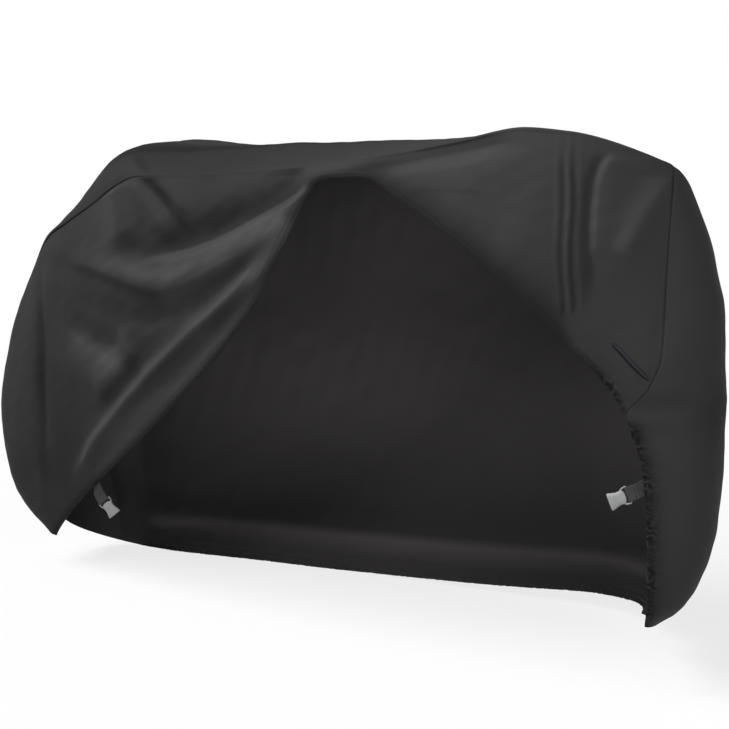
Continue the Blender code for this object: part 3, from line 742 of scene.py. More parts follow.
# %% A finish and its one way to add a node
class Finish:
    """A material being written, with its shader."""

    def __init__(self, name, **constants):
        self.material = bpy.data.materials.new(name)
        self.material.use_nodes = True
        self.tree = self.material.node_tree
        self.shader = self.tree.nodes["Principled BSDF"]
        for label, value in constants.items():
            self.shader.inputs[label.replace("_", " ")].default_value = value

    def node(self, kind, settings=None, sockets=None, out=0):
        """Any node: its type, its settings, then the values or links of its sockets."""
        made = self.tree.nodes.new(kind)
        for label, value in (settings or {}).items():
            setattr(made, label, value)
        for label, value in (sockets or {}).items():
            self.feed(made.inputs[label], value)
        return Field(self, made.outputs[out])

    def feed(self, socket, value):
        """A link or a plain value into a socket."""
        if isinstance(value, Field):
            self.tree.links.new(value.socket, socket)
        else:
            socket.default_value = value

    def done(self, colour, roughness, relief):
        """The three fields that every finish ends in."""
        for label, value in (("Base Color", colour), ("Roughness", roughness), ("Normal", relief)):
            self.feed(self.shader.inputs[label], value)
        return self.material

    def kept(self, label):
        """Three numbers that the mesh keeps at its points."""
        named = {"attribute_type": "GEOMETRY", "attribute_name": label}
        vector = self.node("ShaderNodeAttribute", named, out="Vector")
        first = self.node("ShaderNodeSeparateXYZ", sockets={0: vector})
        return [Field(self, output) for output in first.socket.node.outputs]

    def noise(self, scale, detail, roughness=0.5):
        """A soft uneven pattern from 0 to 1, with so many bumps a metre."""
        place = self.node("ShaderNodeTexCoord", out="Object")
        sockets = {"Vector": place, "Scale": scale, "Detail": detail, "Roughness": roughness}
        return self.node("ShaderNodeTexNoise", sockets=sockets, out="Fac")

    def wave_of(self, field):
        """The sine of a field."""
        return self.node("ShaderNodeMath", {"operation": "SINE"}, {0: field})

    def between(self, field, low, high):
        """0 below low, 1 above high, and a soft step between them."""
        return self.node("ShaderNodeMapRange", {"interpolation_type": "SMOOTHSTEP"},
                         {"Value": field, "From Min": low, "From Max": high})

    def blend(self, share, first, second):
        """From the first colour to the second."""
        return self.node("ShaderNodeMix", {"data_type": "RGBA"}, {0: share, 6: first, 7: second}, out=2)

    def relief(self, height, depth, under=None):
        """Fine relief of a field, where a field of 1 stands out by depth metres."""
        sockets = {"Height": height, "Distance": depth, "Strength": 1.0}
        if under is not None:
            sockets["Normal"] = under
        return self.node("ShaderNodeBump", sockets=sockets)


def shade(red, green, blue):
    """A colour with its alpha."""
    return (red, green, blue, 1.0)


print("finishes can be written")

# %% [markdown]
# ## Coated cloth
#
# The outside is a dense plain weave, nearly black and matte. Three things keep it from looking like
# plastic. Its threads make a fine grain, its colour drifts a little over the hand-sized patches where the
# cloth was creased in storage, and its roughness is uneven at the same places. Banks of the folds that
# look up and rearward are painted lighter, as a painted highlight, and banks that look the other way are
# painted darker, as painted shade; the painted highlights and shade of the tables above are added on top.
# The inside shows the coating, which is smoother and a little warmer.

# %% Finishes of the outside and the inside
THREADS = 1900.0
DRIFT = 7.0
RUMPLE = 28.0
BLACK = shade(0.0, 0.0, 0.0)


def weave(finish, across, down):
    """Plain weave: over and under in both directions, so many threads a metre."""
    return finish.wave_of(across * (math.pi * THREADS)) * finish.wave_of(down * (math.pi * THREADS))


def stitch_row(finish, run, away, place, long, wide):
    """A row of lock stitches: 1 on the thread and 0 beside it."""
    beside = finish.node("ShaderNodeMath", {"operation": "ABSOLUTE"}, {0: away - place})
    line = 1.0 - finish.between(beside, wide * 0.5, wide)
    return line * finish.between(finish.wave_of(run * (TURN / long)), -0.55, -0.10)


def cloth_outside():
    """Charcoal coated cloth, with painted highlights and painted shade on its folds."""
    finish = Finish("charcoal_cloth", Specular_IOR_Level=0.05)
    across, down, painted_light = finish.kept("lay")
    seam, hem, facing_painted_light = finish.kept("edges")
    patches = finish.noise(DRIFT, 3.0)
    specks = finish.noise(420.0, 2.0)
    # Painted highlight on banks of the folds that face the painted light, and painted shade on banks that
    # face away from it.
    painted_highlight = finish.between(facing_painted_light, 0.03, 0.60)
    painted_shade = finish.between(facing_painted_light * -1.0, 0.03, 0.60)
    drift = 0.90 + patches * 0.12 + specks * 0.08
    # The tone takes in the painted highlights and painted shade kept in the mesh.
    tone = drift * (1.0 + painted_highlight * 0.60) * (1.0 - painted_shade * 0.25) * (1.0 + painted_light)
    low = finish.relief(finish.noise(RUMPLE, 3.0), 1.2 * MM)
    thread = stitch_row(finish, across, seam, 5.5 * MM, 4.2 * MM, 0.7 * MM)
    thread = thread + stitch_row(finish, across, hem, 14.5 * MM, 4.2 * MM, 0.7 * MM)
    sewn = finish.relief(thread, 0.5 * MM, low)
    return finish.done(finish.blend(tone * 0.46, BLACK, shade(0.0500, 0.0500, 0.0510)),
                       0.62 + patches * 0.10 + specks * 0.06,
                       finish.relief(weave(finish, across, down), 0.05 * MM, sewn))


def cloth_inside():
    """The coated back of the cloth."""
    finish = Finish("coated_back", Specular_IOR_Level=0.05)
    across, down, painted_light = finish.kept("lay")
    patches = finish.noise(DRIFT, 3.0)
    # The inside's painted shade and the painted highlight on its roll, kept in the mesh, darken or lighten
    # this tone.
    tone = (0.84 + patches * 0.16) * (1.0 + painted_light)
    low = finish.relief(finish.noise(RUMPLE, 3.0), 1.2 * MM)
    return finish.done(finish.blend(tone, BLACK, shade(0.070, 0.065, 0.066)), 0.52 + patches * 0.12,
                       finish.relief(weave(finish, across, down), 0.03 * MM, low))


CLOTH = [cloth_outside(), cloth_inside()]
print("cloth finishes:", [finish.name for finish in CLOTH])

# %% [markdown]
# ## Shade of the cloth
#
# The rear half of the cover is painted a little darker, as painted shade. The inside is painted darkest
# near the floor and towards the front, as painted shade where little light gets in, and lighter on the
# roll that the elastic makes, as a painted highlight.


# %% Shade over the length of the cover
def rear_painted_shade(x):
    """Painted shade of the outside, a share of its colour from 1 in front down to 0.7 at the rear."""
    return 1.0 - 0.30 * np.clip((1.0 - x) / 0.5, 0.0, 1.0) ** 1.2


def inside_painted_light(x, z, roll=0.0):
    """Painted shade of the inside and the painted highlight on its roll, as a share lighter or darker."""
    dim = 1.0 - 0.50 * ease((x - 0.35) / 0.60)
    return (0.30 + 0.70 * ease((z - 0.10) / 0.40) + 0.45 * roll) * dim - 1.0


print("shade in the middle:", round(float(rear_painted_shade(0.6)), 3))

# %% [markdown]
# ## Near side panel
#
# From the middle of the front leg the elastic gathers the hem of this panel, and the gathers go on round
# the gusset. Behind that the hem is drawn up only a little. Its rear foot bellies out by 13 mm more. The
# hem is painted darker where it turns in, as painted shade, least so just behind the peak, and over a
# wider band in front of it.

# %% Build the near side panel
GATHER_FROM = 0.900
GATHER_FULL = 0.945
FOOT_BELLY = 13.0 * MM
NEAR_ROLL = 5.0 * MM
# The way the painted light comes from, for painted highlights and shade on the banks of the folds.
PAINTED_LIGHT_FROM = np.array((-0.45, -0.10, 0.88))
# Painted shade along the near hem where the cloth turns in, and how much less of it just behind the peak.
HEM_PAINTED_SHADE = 0.55
PEAK_SHADE_LESS = 0.35

near_grid = lay_out(near_face, near_seam, near_hem, -1.0,
                    ((0.0, 0.24, 62), (0.24, 0.72, 120), (0.72, 0.865, 84), (0.865, 1.0, 120)),
                    SEAM_ROWS, HEM_ROWS, 88)
u, v, away = near_grid.u, near_grid.v, near_grid.away
hem_run = near_grid.run[:, -1:]
gathered = ease((u - GATHER_FROM) / (GATHER_FULL - GATHER_FROM))
relief = rolled_hem(away, NEAR_ROLL * (1.0 - 0.6 * gathered)) + seam_lip(near_grid.down)
relief += gathers(hem_run, away) * gathered
relief += FOOT_BELLY * bell((u - 0.03) / 0.045) * arch(v)
relief += puckers(hem_run, away, 31.0 * MM, 0.7 * MM, 12.0 * MM, 2.0) * (1.0 - gathered)
near_points = near_grid.points + near_grid.out * relief[..., None]
near_points = near_points - groove_at(near_grid.stations, NEAR_SIDE, seam_groove(near_grid.down))
near_outer, near_inner = both_faces(near_points, near_grid.out, away)

x, z = near_outer[..., 0], near_outer[..., 2]
# Painted shade along the hem, over a band this deep from its edge.
deep = 12.0 * MM + 38.0 * MM * ease((u - 0.60) / 0.06) * ease((0.90 - u) / 0.06)
hem_shade = HEM_PAINTED_SHADE - PEAK_SHADE_LESS * bell((u - 0.52) / 0.06)
# Painted highlights and painted shade of the near panel's folds, with its painted rear shade, painted hem
# shade and the painted light of its gathers.
painted_light = 1.0 + fold_lift(x, z, NEAR_PAINTED_LIGHT, NEAR_PAINTED_LIGHT_FADES)
painted_light = painted_light * rear_painted_shade(x) * (1.0 - hem_shade * bell(away / deep))
# Painted shade in the hollows of the hem's gathers and painted highlights on their crests.
painted_light = painted_light * (1.0 + gathered * gathers_painted_light(hem_run, away)) - 1.0
# How far each bank of a fold turns towards the painted light, for painted highlights and shade.
unfolded = outward_of(near_face(u, v, folded=False), -1.0)
facing_painted_light = (near_grid.out - unfolded) @ PAINTED_LIGHT_FROM
near_cloth = closed_sheet("near_side_cloth", near_outer, near_inner, CLOTH,
                          together(near_grid.run, near_grid.down, painted_light),
                          together(near_grid.down, away, facing_painted_light))
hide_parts("near_side_panel")

# %% [markdown]
# ## Far side panel
#
# This one comes down to the floor at the rear and to 8 cm above it in front. From the near side its
# inside shows, with the soft roll that the elastic makes above the hem and the small teeth of its
# gathers. The front end of its hem is drawn forward, outward and up, round the corner of the gusset.

# %% Build the far side panel
HEM_SHIFT = np.array((22.0, 20.0, 17.0)) * MM
FAR_ROLL = 4.0 * MM

far_grid = lay_out(far_face, far_seam, far_hem, 1.0,
                   ((0.0, 0.25, 60), (0.25, 0.90, 430), (0.90, 1.3, 130)), SEAM_ROWS, HEM_ROWS, 44)
u, v, away = far_grid.u, far_grid.v, far_grid.away
x, z = far_grid.points[..., 0], far_grid.points[..., 2]
hold = ease(far_grid.down / 0.06) * ease(away / 0.10)
relief = rolled_hem(away, FAR_ROLL) + seam_lip(far_grid.down)
relief += puckers(far_grid.run[:, -1:], away, 23.0 * MM, 2.4 * MM, 16.0 * MM, 3.0)
relief += hold * (3.0 * MM * waver(x, z * 0.5, 0.30, 5) + 1.0 * MM * waver(x, z, 0.09, 9))
relief *= ease((1.3 - u) / 0.06) * ease(u / 0.03)
shift = (ease((u - 1.02) / 0.14) * v * v)[..., None] * HEM_SHIFT
far_points = far_grid.points + far_grid.out * relief[..., None] + shift
far_points = far_points - groove_at(far_grid.stations, FAR_SIDE, seam_groove(far_grid.down))
far_outer, far_inner = both_faces(far_points, far_grid.out, away)
# Where the painted highlight on the inside of the elastic's roll lies.
roll = ease((away - 0.045) / 0.027) * ease((0.105 - away) / 0.033) * ease((u - 0.05) / 0.12)
far_cloth = closed_sheet("far_side_cloth", far_outer, far_inner, CLOTH,
                         together(far_grid.run, far_grid.down, 0.0),
                         together(far_grid.down, away, 0.0), inside_painted_light(x, z, roll))
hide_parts("far_side_panel")

# %% [markdown]
# ## Gusset
#
# One long strip joins both side panels. Beside the near panel its edge is a seam, and below the end
# of that panel its edge is the gathered hem of the lifted leg. Two soft humps raise the rear of its
# top. Its front stands fuller than the seams beside it, by up to 31 mm low on the leg, because
# nothing holds the middle of the strip in. The fullness is level, so it doesn't lift the cloth.

# %% Build the gusset
LEG_ROWS = (0.0, 0.7, 1.6, 3.0, 4.8, 7.0, 9.5, 12.5, 14.5, 16.5, 20.0, 25.0, 32.0)
Hump = namedtuple("Hump", "rise station long share wide")
HUMPS = (Hump(9.0 * MM, 0.405, 0.035, 0.72, 0.16), Hump(12.0 * MM, 0.372, 0.028, 0.48, 0.22))
FULLER_AT = (0.84, 0.87, 0.90, 0.92, 0.94, 0.96, 0.99, 1.03, 1.10, 1.14, 1.18, 1.22, 1.26, 1.28, 1.30)
FULLER_BY = (0.0, 18.0, 20.0, 21.0, 13.0, 8.0, 2.0, 1.0, 5.0, 11.0, 17.0, 26.0, 31.0, 26.0, 10.0)
NEARLY_LEVEL = np.array((1.0, 1.0, 0.02))
LEG_ROLL = 2.0 * MM

gusset_grid = lay_out(gusset_face, near_seam, far_seam, 1.0,
                      ((0.0, 0.30, 70), (0.30, 0.86, 130), (0.86, 1.0, 60), (1.0, 1.3, 170)),
                      LEG_ROWS, SEAM_ROWS, 50)
u, w, down, left = gusset_grid.u, gusset_grid.v, gusset_grid.down, gusset_grid.away
first_leg_row = np.searchsorted(gusset_grid.stations, NEAR_END)
leg_run = hem_run[-1, 0] + gusset_grid.run[:, :1] - gusset_grid.run[first_leg_row, 0]
is_hem = np.where(u > NEAR_END, 1.0, 0.0)
x, y, z = (gusset_grid.points[..., k] for k in range(3))
hold = ease(down / 0.05) * ease(left / 0.05)
relief = hold * (1.6 * MM * waver(y + x, z, 0.22, 2) + 0.6 * MM * waver(x, y + z, 0.07, 6))
for hump in HUMPS:
    relief += hump.rise * bell((u - hump.station) / hump.long) * bell((w - hump.share) / hump.wide)
relief += seam_lip(left) + seam_lip(down) * (1.0 - is_hem)
relief += is_hem * (gathers(leg_run, down) * ease((1.29 - u) / 0.08) + rolled_hem(down, LEG_ROLL))
fuller = np.interp(u, FULLER_AT, FULLER_BY) * MM * ease(w / 0.40) * ease((1.0 - w) / 0.40)
gusset_points = (gusset_grid.points + gusset_grid.out * relief[..., None]
                 + unit(gusset_grid.out * NEARLY_LEVEL) * fuller[..., None]
                 - groove_at(gusset_grid.stations, NEAR_SIDE, seam_groove(down) * (1.0 - is_hem))
                 - groove_at(gusset_grid.stations, FAR_SIDE, seam_groove(left)))
hem_away = np.where(is_hem > 0.5, down, 1.0)
gusset_outer, gusset_inner = both_faces(gusset_points, gusset_grid.out, hem_away)

soft_hem = ease((u - NEAR_END + 0.005) / 0.03)
# Painted highlights and painted shade of the gusset, with its painted rear shade and the painted light
# along the leg's hem.
painted_light = 1.0 + fold_lift(u * GUSSET_SCALE[0], w * GUSSET_SCALE[1], GUSSET_PAINTED_LIGHT,
                        GUSSET_PAINTED_LIGHT_FADES, GUSSET_SCALE)
# Painted shade over the leg, deepest along its gathered hem.
painted_light = painted_light * rear_painted_shade(x) * (1.0 - soft_hem * (0.08 + 0.35 * bell(down / 0.035)))
# Painted shade in the hollows of the leg's gathers and painted highlights on their crests.
painted_light = painted_light * (1.0 + soft_hem * gathers_painted_light(leg_run, down)) - 1.0
gusset_cloth = closed_sheet("gusset_cloth", gusset_outer, gusset_inner, CLOTH,
                            together(gusset_grid.run, down, painted_light), together(left, hem_away, 0.0),
                            inside_painted_light(x, z))
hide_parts("gusset")

# %% [markdown]
# ## Bound slit
#
# A narrow slit low on the front of the near panel lets a lock cable through. Its two lips are bound: a
# rounded strip about 6.5 mm wide above it and a thin one about 2.5 mm wide below it. They nearly touch,
# and the binding between them is painted near black as painted shade, so that the slit is a dark line with
# a hook at its upper end; the outer edge of the upper strip is painted darker too, as painted shade. The
# binding is laid on the finished cloth point by point, because it is sewn to it and has to follow its
# folds. Its section is a row of distances from the slit and a row of heights over the cloth, both in
# millimetres.

# %% Build the slit binding
SLIT_FROM = (1.474, 0.693)
SLIT_TO = (1.523, 0.621)
SLIT_ACROSS = (-4.0, -3.6, -3.0, -2.5, -2.0, -1.6, -0.8, 0.4, 1.3, 1.7, 2.4, 3.8, 5.2, 6.4, 7.2, 7.9)
SLIT_HEIGHT = (-0.6, 0.2, 0.8, 1.0, 0.9, 0.3, 0.1, 0.1, 0.4, 1.5, 2.2, 2.4, 2.1, 1.5, 0.6, -0.6)
SLIT_STEPS = 61
NEARBY = 0.09


def binding_cloth():
    """Smooth grey binding tape, painted near black in the slot between its lips as painted shade."""
    finish = Finish("binding_tape", Specular_IOR_Level=0.12)
    along, across, slot = finish.kept("lay")
    ribs = finish.wave_of(along * (math.pi * 2400.0)) * finish.wave_of(across * (math.pi * 1500.0))
    patches = finish.noise(60.0, 3.0)
    thread = stitch_row(finish, along, across, 5.9 * MM, 3.2 * MM, 0.5 * MM)
    worn = finish.blend(patches, shade(0.0125, 0.0132, 0.0165), shade(0.018, 0.019, 0.023))
    sewn = finish.blend(thread * 0.5, worn, shade(0.028, 0.029, 0.033))
    return finish.done(finish.blend(slot, sewn, shade(0.002, 0.002, 0.002)), 0.55 + patches * 0.15,
                       finish.relief(ribs, 0.04 * MM, finish.relief(thread, 0.3 * MM)))


def on_near_cloth(x, z):
    """Point and outward direction of the finished near cloth at each (x, z)."""
    flat, facing = near_outer.reshape(-1, 3), near_grid.out.reshape(-1, 3)
    close = np.hypot(flat[:, 0] - x.mean(), flat[:, 2] - z.mean()) < NEARBY
    flat, facing = flat[close], facing[close]
    gap = np.hypot(flat[:, 0] - x.reshape(-1, 1), flat[:, 2] - z.reshape(-1, 1))
    share = 1.0 / (gap + 0.4 * MM) ** 3
    share /= share.sum(axis=1, keepdims=True)
    nearest = gap.argsort(axis=1)[:, :4]
    weight = 1.0 / (np.take_along_axis(gap, nearest, axis=1) + 0.1 * MM)
    y = (flat[:, 1][nearest] * weight).sum(axis=1) / weight.sum(axis=1)
    point = together(x, y.reshape(x.shape), z)
    return point, unit(share @ facing).reshape(point.shape)


def slit_binding():
    """The two bound lips with the slot between them."""
    start, line = np.array(SLIT_FROM), np.subtract(SLIT_TO, SLIT_FROM)
    length = math.hypot(*line)
    right = np.array((-line[1], line[0])) / length
    t = np.linspace(0.0, 1.0, SLIT_STEPS)[:, None]
    taper = np.sqrt(np.clip(1.0 - (2.0 * t - 1.0) ** 4, 0.02, 1.0))
    hook = 2.6 * MM * np.clip(1.0 - t / 0.10, 0.0, 1.0) ** 2
    offsets = np.array(SLIT_ACROSS)[None, :] * MM
    c = offsets * taper + hook
    base, out = on_near_cloth(start[0] + line[0] * t + right[0] * c, start[1] + line[1] * t + right[1] * c)
    height = np.array(SLIT_HEIGHT) * MM * (0.35 + 0.65 * taper) + 0.15 * MM * np.sin(t * 40.0)
    outer = base + out * (height + 0.35 * MM)[..., None]
    # Painted shade: the slot between the lips in full, and the outer edge of the upper strip a little
    # less.
    slot = (np.abs(offsets + 0.2 * MM) < 1.6 * MM) + 0.6 * (offsets > 7.0 * MM)
    lay = together(t * length, offsets, slot * ease((1.0 - t) / 0.05))
    piece = closed_sheet("slit_binding", outer, base - out * 0.9 * MM, [binding_cloth()], lay,
                         np.zeros_like(lay))
    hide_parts("slit_welt")


slit_binding()

# %% [markdown]
# ## Webbing tabs
#
# Each tab is a strip of 30 mm webbing. It comes from behind the hem, turns towards the way its buckle
# hangs, goes through the buckle's slot round the bar, and is sewn back on itself. The solids fix where
# each buckle is, so its bar is measured from them and the strip is led to it.

# %% Where the tabs start and where their buckles hang
Tab = namedtuple("Tab", "name station along across")
TABS = (Tab("rear", 0.148, (0.526, 0.313, -0.751), (0.766, 0.194, 0.617)),
        Tab("front", 1.112, (-0.832, -0.353, -0.430), (-0.400, 0.000, 0.800)))
BAR_HALF = 1.7 * MM
WEB_THICK = 1.6 * MM
SEWN_BEHIND = (14.0 * MM, 7.0 * MM, 0.0)


def buckle_axes(tab):
    """The bar's middle and the directions along, across and up of a buckle's solid."""
    along = unit(np.array(tab.along))
    across = np.array(tab.across)
    across = unit(across - along * (across @ along))
    up = np.cross(along, across)
    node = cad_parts[tab.name + "_buckle"]
    points = np.array([tuple(node.matrix_world @ vertex.co) for vertex in node.data.vertices]) + ORIGIN
    low, high = [[pick(points @ way) for way in (along, across, up)] for pick in (np.min, np.max)]
    bar = (along * (low[0] + BAR_HALF) + across * (low[1] + high[1]) / 2.0
           + up * (low[2] + high[2]) / 2.0)
    return bar, along, across, up


def hem_start(tab):
    """Three points behind the hem where a tab is sewn on, and the course of the hem there."""
    if tab.station <= NEAR_END:
        grid, inner, away, edge = near_grid, near_inner, near_grid.away, -1
    else:
        grid, inner, away, edge = gusset_grid, gusset_inner, gusset_grid.down, 0
    row = int(np.abs(grid.stations - tab.station).argmin())
    rows = [int(np.abs(away[row] - deep).argmin()) for deep in SEWN_BEHIND]
    points = [inner[row, k] - grid.out[row, k] * (WEB_THICK / 2.0 + 0.5 * MM) for k in rows]
    return points, unit(inner[row + 3, edge] - inner[row - 3, edge])


def soft_path(points, steps):
    """A soft line in space through a few points, as many even steps."""
    fine = smooth_course(points, 12)
    run = length_run(fine, 0)
    even = np.linspace(0.0, run[-1], steps)
    return np.stack([np.interp(even, run, fine[:, k]) for k in range(3)], axis=-1), even


print("tabs:", [tab.name for tab in TABS])

# %% [markdown]
# Woven webbing has diagonal ribs, close picks across them and a firm edge. Two rows of sewing hold
# the end that comes back from the bar.

# %% Build the two tabs
WEB_RETURN = 14.0 * MM
WEB_BEND = 3.6 * MM
BEND_STEPS = np.radians((90, 67, 45, 22, 0, -22, -45, -67, -90))
WEB_ACROSS = np.array((-15.0, -14.6, -13.4, -11.0, -7.0, -2.5, 2.5, 7.0, 11.0, 13.4, 14.6, 15.0)) * MM
WEB_HALF = np.array((0.30, 0.72, 0.80, 0.80, 0.80, 0.80, 0.80, 0.80, 0.80, 0.80, 0.72, 0.30)) * MM


def webbing():
    """Charcoal webbing: ribs across and rows of sewing."""
    finish = Finish("webbing", Specular_IOR_Level=0.30)
    along, across, _ = finish.kept("lay")
    sewn, _, _ = finish.kept("edges")
    twill = finish.wave_of((along + across * 0.9) * (TURN / (2.4 * MM)))
    patches = finish.noise(90.0, 3.0)
    rib = twill * 0.6 + finish.wave_of(along * (TURN / (1.1 * MM))) * 0.4
    dark = finish.blend(patches, shade(0.0055, 0.0057, 0.0062), shade(0.009, 0.0092, 0.0099))
    light = finish.blend(finish.between(rib, -0.2, 0.9) * 0.5, dark, shade(0.015, 0.0153, 0.0162))
    return finish.done(finish.blend(sewn * 0.55, light, shade(0.030, 0.0306, 0.032)),
                       0.46 + patches * 0.18,
                       finish.relief(rib, 0.16 * MM, finish.relief(sewn, 0.4 * MM)))


def webbing_tab(tab, finish):
    """One strip of webbing from the hem round the bar of its buckle and back."""
    bar, along, across, up = buckle_axes(tab)
    starts, course = hem_start(tab)
    if course @ across < 0.0:
        course = -course
    lead = bar - along * WEB_RETURN
    halfway = starts[-1] * 0.5 + lead * 0.5 + up * 2.6 * MM
    turn = [bar + along * WEB_BEND * math.cos(a) + up * WEB_BEND * math.sin(a) for a in BEND_STEPS]
    tail = [lead - up * 2.2 * MM + along * 4.0 * MM, lead - up * 2.0 * MM]
    path, run = soft_path(starts + [halfway, lead] + turn + tail, 110)
    spine = unit(np.gradient(path, axis=0))
    before = float(np.linalg.norm(starts[-1] - starts[0]))
    full = before + float(np.linalg.norm(lead - starts[-1]))
    share = ease((run - before) / (full - before))[:, None]
    side = unit(course * (1.0 - share) + across * share)
    side = unit(side - spine * (side * spine).sum(axis=1, keepdims=True))
    face = np.cross(side, spine)[:, None]
    cup = 0.5 * MM * (WEB_ACROSS / (15.0 * MM)) ** 2 * ease(1.0 - share)
    centre = path[:, None] + side[:, None] * WEB_ACROSS[None, :, None] + face * cup[..., None]
    half = face * WEB_HALF[None, :, None]
    seam_lines = sum(bell((run - place) / (0.8 * MM)) for place in (full - 4.0 * MM, full + 2.0 * MM))
    sewn = seam_lines[:, None] * ease((np.sin(WEB_ACROSS * TURN / (3.6 * MM)) + 0.6) / 0.6)
    piece = closed_sheet(tab.name + "_webbing", centre + half, centre - half, [finish],
                         together(run[:, None], WEB_ACROSS, 0.0), together(sewn, 0.0, 0.0))
    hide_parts(tab.name + "_strap")


WEBBING = webbing()
for tab in TABS:
    webbing_tab(tab, WEBBING)

# %% [markdown]
# ## Buckle halves
#
# Each is the open half of a side-release buckle, moulded in grey plastic. At the strap end a thin
# frame carries the bar. The body behind it starts as a round shoulder, narrows to a waist where
# fingers grip it, and widens to a mouth for the other half. It is lofted from rounded sections, and
# the last sections turn back inside to hollow out the mouth. A section is given by its place from the
# bar, its half width and its half thickness, in millimetres.


# %% Finish of the grey plastic
def grey_plastic():
    """Satin moulded plastic with scuffs."""
    finish = Finish("grey_plastic", Specular_IOR_Level=0.45)
    patches = finish.noise(45.0, 3.0)
    scuffs = finish.between(finish.noise(700.0, 4.0, roughness=0.7), 0.62, 0.70)
    plain = finish.blend(patches, shade(0.118, 0.119, 0.121), shade(0.146, 0.147, 0.149))
    low = finish.relief(finish.noise(2600.0, 2.0), 0.03 * MM)
    return finish.done(finish.blend(scuffs * 0.4, plain, shade(0.220, 0.221, 0.223)),
                       0.42 + patches * 0.10 + scuffs * 0.20,
                       finish.relief(scuffs, -0.05 * MM, low))


PLASTIC = grey_plastic()
print("plastic finish:", PLASTIC.name)

# %% [markdown]
# The body has fine grip ribs across its waist. The frame is a rounded bar bent round four corners.

# %% Build the two buckle halves
BODY_ROWS = np.array((
    (5.6, 3.4, 2.0), (6.2, 6.6, 2.7), (7.8, 10.2, 3.3), (10.2, 13.4, 3.6), (12.4, 14.8, 3.8),
    (14.2, 14.2, 3.9), (17.0, 13.2, 4.0), (23.0, 13.4, 4.0), (29.0, 14.8, 4.0), (35.0, 16.6, 4.0),
    (39.5, 17.6, 4.0), (40.6, 17.3, 3.7), (41.0, 16.6, 3.2)))
MOUTH_ROWS = ((41.0, 15.4, 2.5), (40.4, 15.1, 2.3), (36.0, 14.6, 2.2), (30.0, 12.8, 2.1),
              (26.0, 11.6, 2.0))
CORNERS = ((1.6, 15.4, 270), (9.4, 14.0, 0), (9.4, -14.0, 90), (1.6, -15.4, 180))
CORNER_ROUND = 1.6
FRAME_HALF = (1.55, 1.7)
BODY_RING = 56
FRAME_RING = 16


def rounded(half_wide, half_thick, count, power):
    """Points of a rounded section, as (across, up)."""
    a = np.linspace(0.0, TURN, count, endpoint=False)
    ways = together(np.cos(a), np.sin(a))
    return np.array((half_wide, half_thick)) * np.sign(ways) * np.abs(ways) ** power


def body_rings():
    """Sections of the body from its shoulder to its mouth and back inside it."""
    places = np.concatenate((BODY_ROWS[:5, 0], np.arange(13.0, 39.4, 0.7), BODY_ROWS[-3:, 0]))
    rings = []
    for place in places:
        wide, thick = (np.interp(place, BODY_ROWS[:, 0], BODY_ROWS[:, k]) for k in (1, 2))
        ring = rounded(wide, thick, BODY_RING, 0.625)
        grip = bell((place - 27.0) / 8.0) * max(0.0, math.sin(place * TURN / 3.2)) * 0.45
        ring[:, 1] += np.sign(ring[:, 1]) * grip * ease((9.5 - np.abs(ring[:, 0])) / 2.5)
        rings.append(np.column_stack((np.full(BODY_RING, place), ring)))
    for place, wide, thick in MOUTH_ROWS:
        rings.append(np.column_stack((np.full(BODY_RING, place), rounded(wide, thick, BODY_RING, 0.625))))
    return np.array(rings)


def frame_rings():
    """Sections of the thin frame round the slot, as a closed loop."""
    line = []
    for along, across, start in CORNERS:
        turn = np.radians(np.linspace(start, start + 90.0, 9))
        line += [(along + CORNER_ROUND * math.sin(a), across + CORNER_ROUND * math.cos(a)) for a in turn]
    line = np.array(line)
    ahead = unit(np.roll(line, -1, axis=0) - np.roll(line, 1, axis=0))
    aside = together(ahead[:, 1], -ahead[:, 0])
    bar = rounded(*FRAME_HALF, FRAME_RING, 0.7)
    rings = [np.column_stack((point + way * bar[:, :1], bar[:, 1])) for point, way in zip(line, aside)]
    return np.array(rings)


def ring_faces(rings, first, looped):
    """Faces between rings, with flat ends unless the rings make a loop."""
    index = first + np.arange(rings.shape[0] * rings.shape[1]).reshape(rings.shape[:2])
    here, ahead = (index, np.roll(index, -1, axis=0)) if looped else (index[:-1], index[1:])
    square = together(here, np.roll(here, -1, axis=1), np.roll(ahead, -1, axis=1), ahead)
    ends = [] if looped else [index[0][::-1].tolist(), index[-1].tolist()]
    return square.reshape(-1, 4).tolist() + ends


def buckle_half(tab):
    """One buckle half on the bar that its solid gives."""
    bar, along, across, up = buckle_axes(tab)
    body, loop = body_rings(), frame_rings()
    faces = ring_faces(body, 0, False) + ring_faces(loop, body.size // 3, True)
    local = np.concatenate((body.reshape(-1, 3), loop.reshape(-1, 3))) * MM
    points = bar + local @ np.array((along, across, up)) - ORIGIN
    mesh = bpy.data.meshes.new(tab.name + "_clip")
    mesh.from_pydata(points.tolist(), [], faces)
    mesh.materials.append(PLASTIC)
    piece = riding_piece(mesh, 50.0)
    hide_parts(tab.name + "_buckle")


for tab in TABS:
    buckle_half(tab)

# %% [markdown]
# ## Floor and light
#
# A dark matte cloth shows its folds only under broad soft light. So the room is pale all round, and
# four broad far lamps light the cover: the strongest from above the rear of the near side, a second
# from the near side, a low one from the front end and a faint one from the far side. A direction
# points from the cover to its lamp.

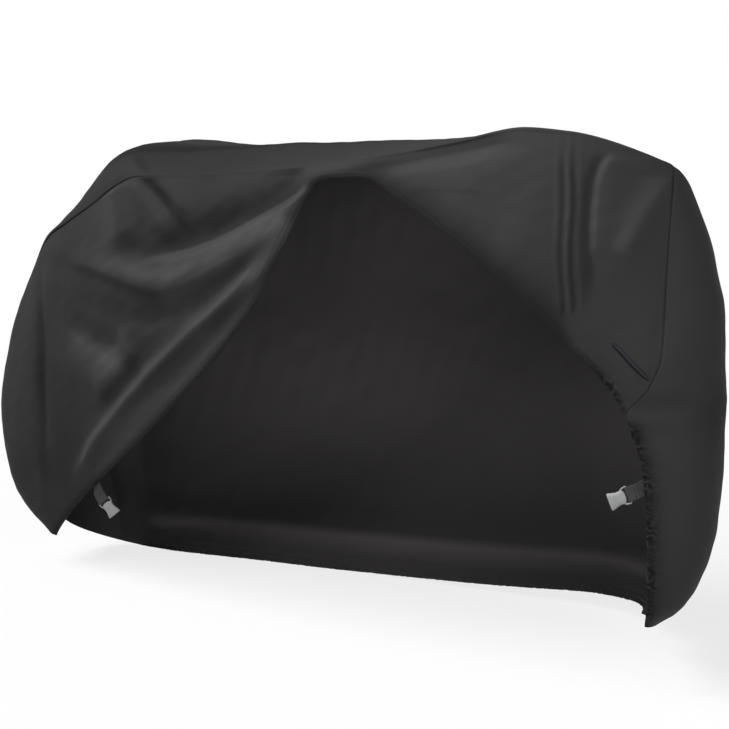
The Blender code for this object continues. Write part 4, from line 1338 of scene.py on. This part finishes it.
# %% Floor, lamps and room
FLOOR_HALF = 400.0
LAMPS = (("lamp_left", (-0.45, -0.43, 0.78), 4.0, 30.0), ("lamp_front", (-0.10, -0.80, 0.59), 3.0, 30.0),
         ("lamp_right", (0.95, -0.25, 0.20), 2.2, 50.0), ("lamp_behind", (-0.20, 0.75, 0.60), 0.3, 60.0))
ROOM = {"From Min": 0.02, "From Max": 0.10, "To Min": 1.0, "To Max": 0.10}
WHITE = shade(1.0, 1.0, 1.0)


def pale_floor():
    """A wide pale floor."""
    mesh = bpy.data.meshes.new("floor")
    corners = [(x * FLOOR_HALF, y * FLOOR_HALF, 0.0) for x, y in ((-1, -1), (1, -1), (1, 1), (-1, 1))]
    mesh.from_pydata(corners, [], [(0, 1, 2, 3)])
    floor = bpy.data.objects.new("floor", mesh)
    bpy.context.collection.objects.link(floor)
    finish = Finish("pale_floor", Base_Color=shade(0.12, 0.12, 0.12), Roughness=1.0,
                    Specular_IOR_Level=0.0, Emission_Color=WHITE, Emission_Strength=0.775)
    mesh.materials.append(finish.material)


def soft_sun(name, towards, strength, spread_degrees):
    """A broad far lamp that shines from a direction."""
    data = bpy.data.lights.new(name, "SUN")
    data.energy = strength
    data.angle = math.radians(spread_degrees)
    lamp = bpy.data.objects.new(name, data)
    lamp.rotation_euler = Vector(towards).to_track_quat("Z", "Y").to_euler()
    lamp.location = Vector(towards) * 4.0
    bpy.context.collection.objects.link(lamp)


def pale_room():
    """A room that is white at eye level and dimmer overhead, so that the lamps shape the folds."""
    world = bpy.data.worlds.new("pale_room")
    bpy.context.scene.world = world
    world.use_nodes = True
    nodes, links = world.node_tree.nodes, world.node_tree.links
    way = nodes.new("ShaderNodeTexCoord")
    parts = nodes.new("ShaderNodeSeparateXYZ")
    height = nodes.new("ShaderNodeMapRange")
    for label, value in ROOM.items():
        height.inputs[label].default_value = value
    links.new(way.outputs["Generated"], parts.inputs[0])
    links.new(parts.outputs["Z"], height.inputs["Value"])
    links.new(height.outputs[0], nodes["Background"].inputs["Strength"])
    nodes["Background"].inputs["Color"].default_value = WHITE


pale_floor()
for lamp in LAMPS:
    soft_sun(*lamp)
pale_room()
bpy.context.scene.view_settings.view_transform = "Standard"
print("lamps:", len(LAMPS))
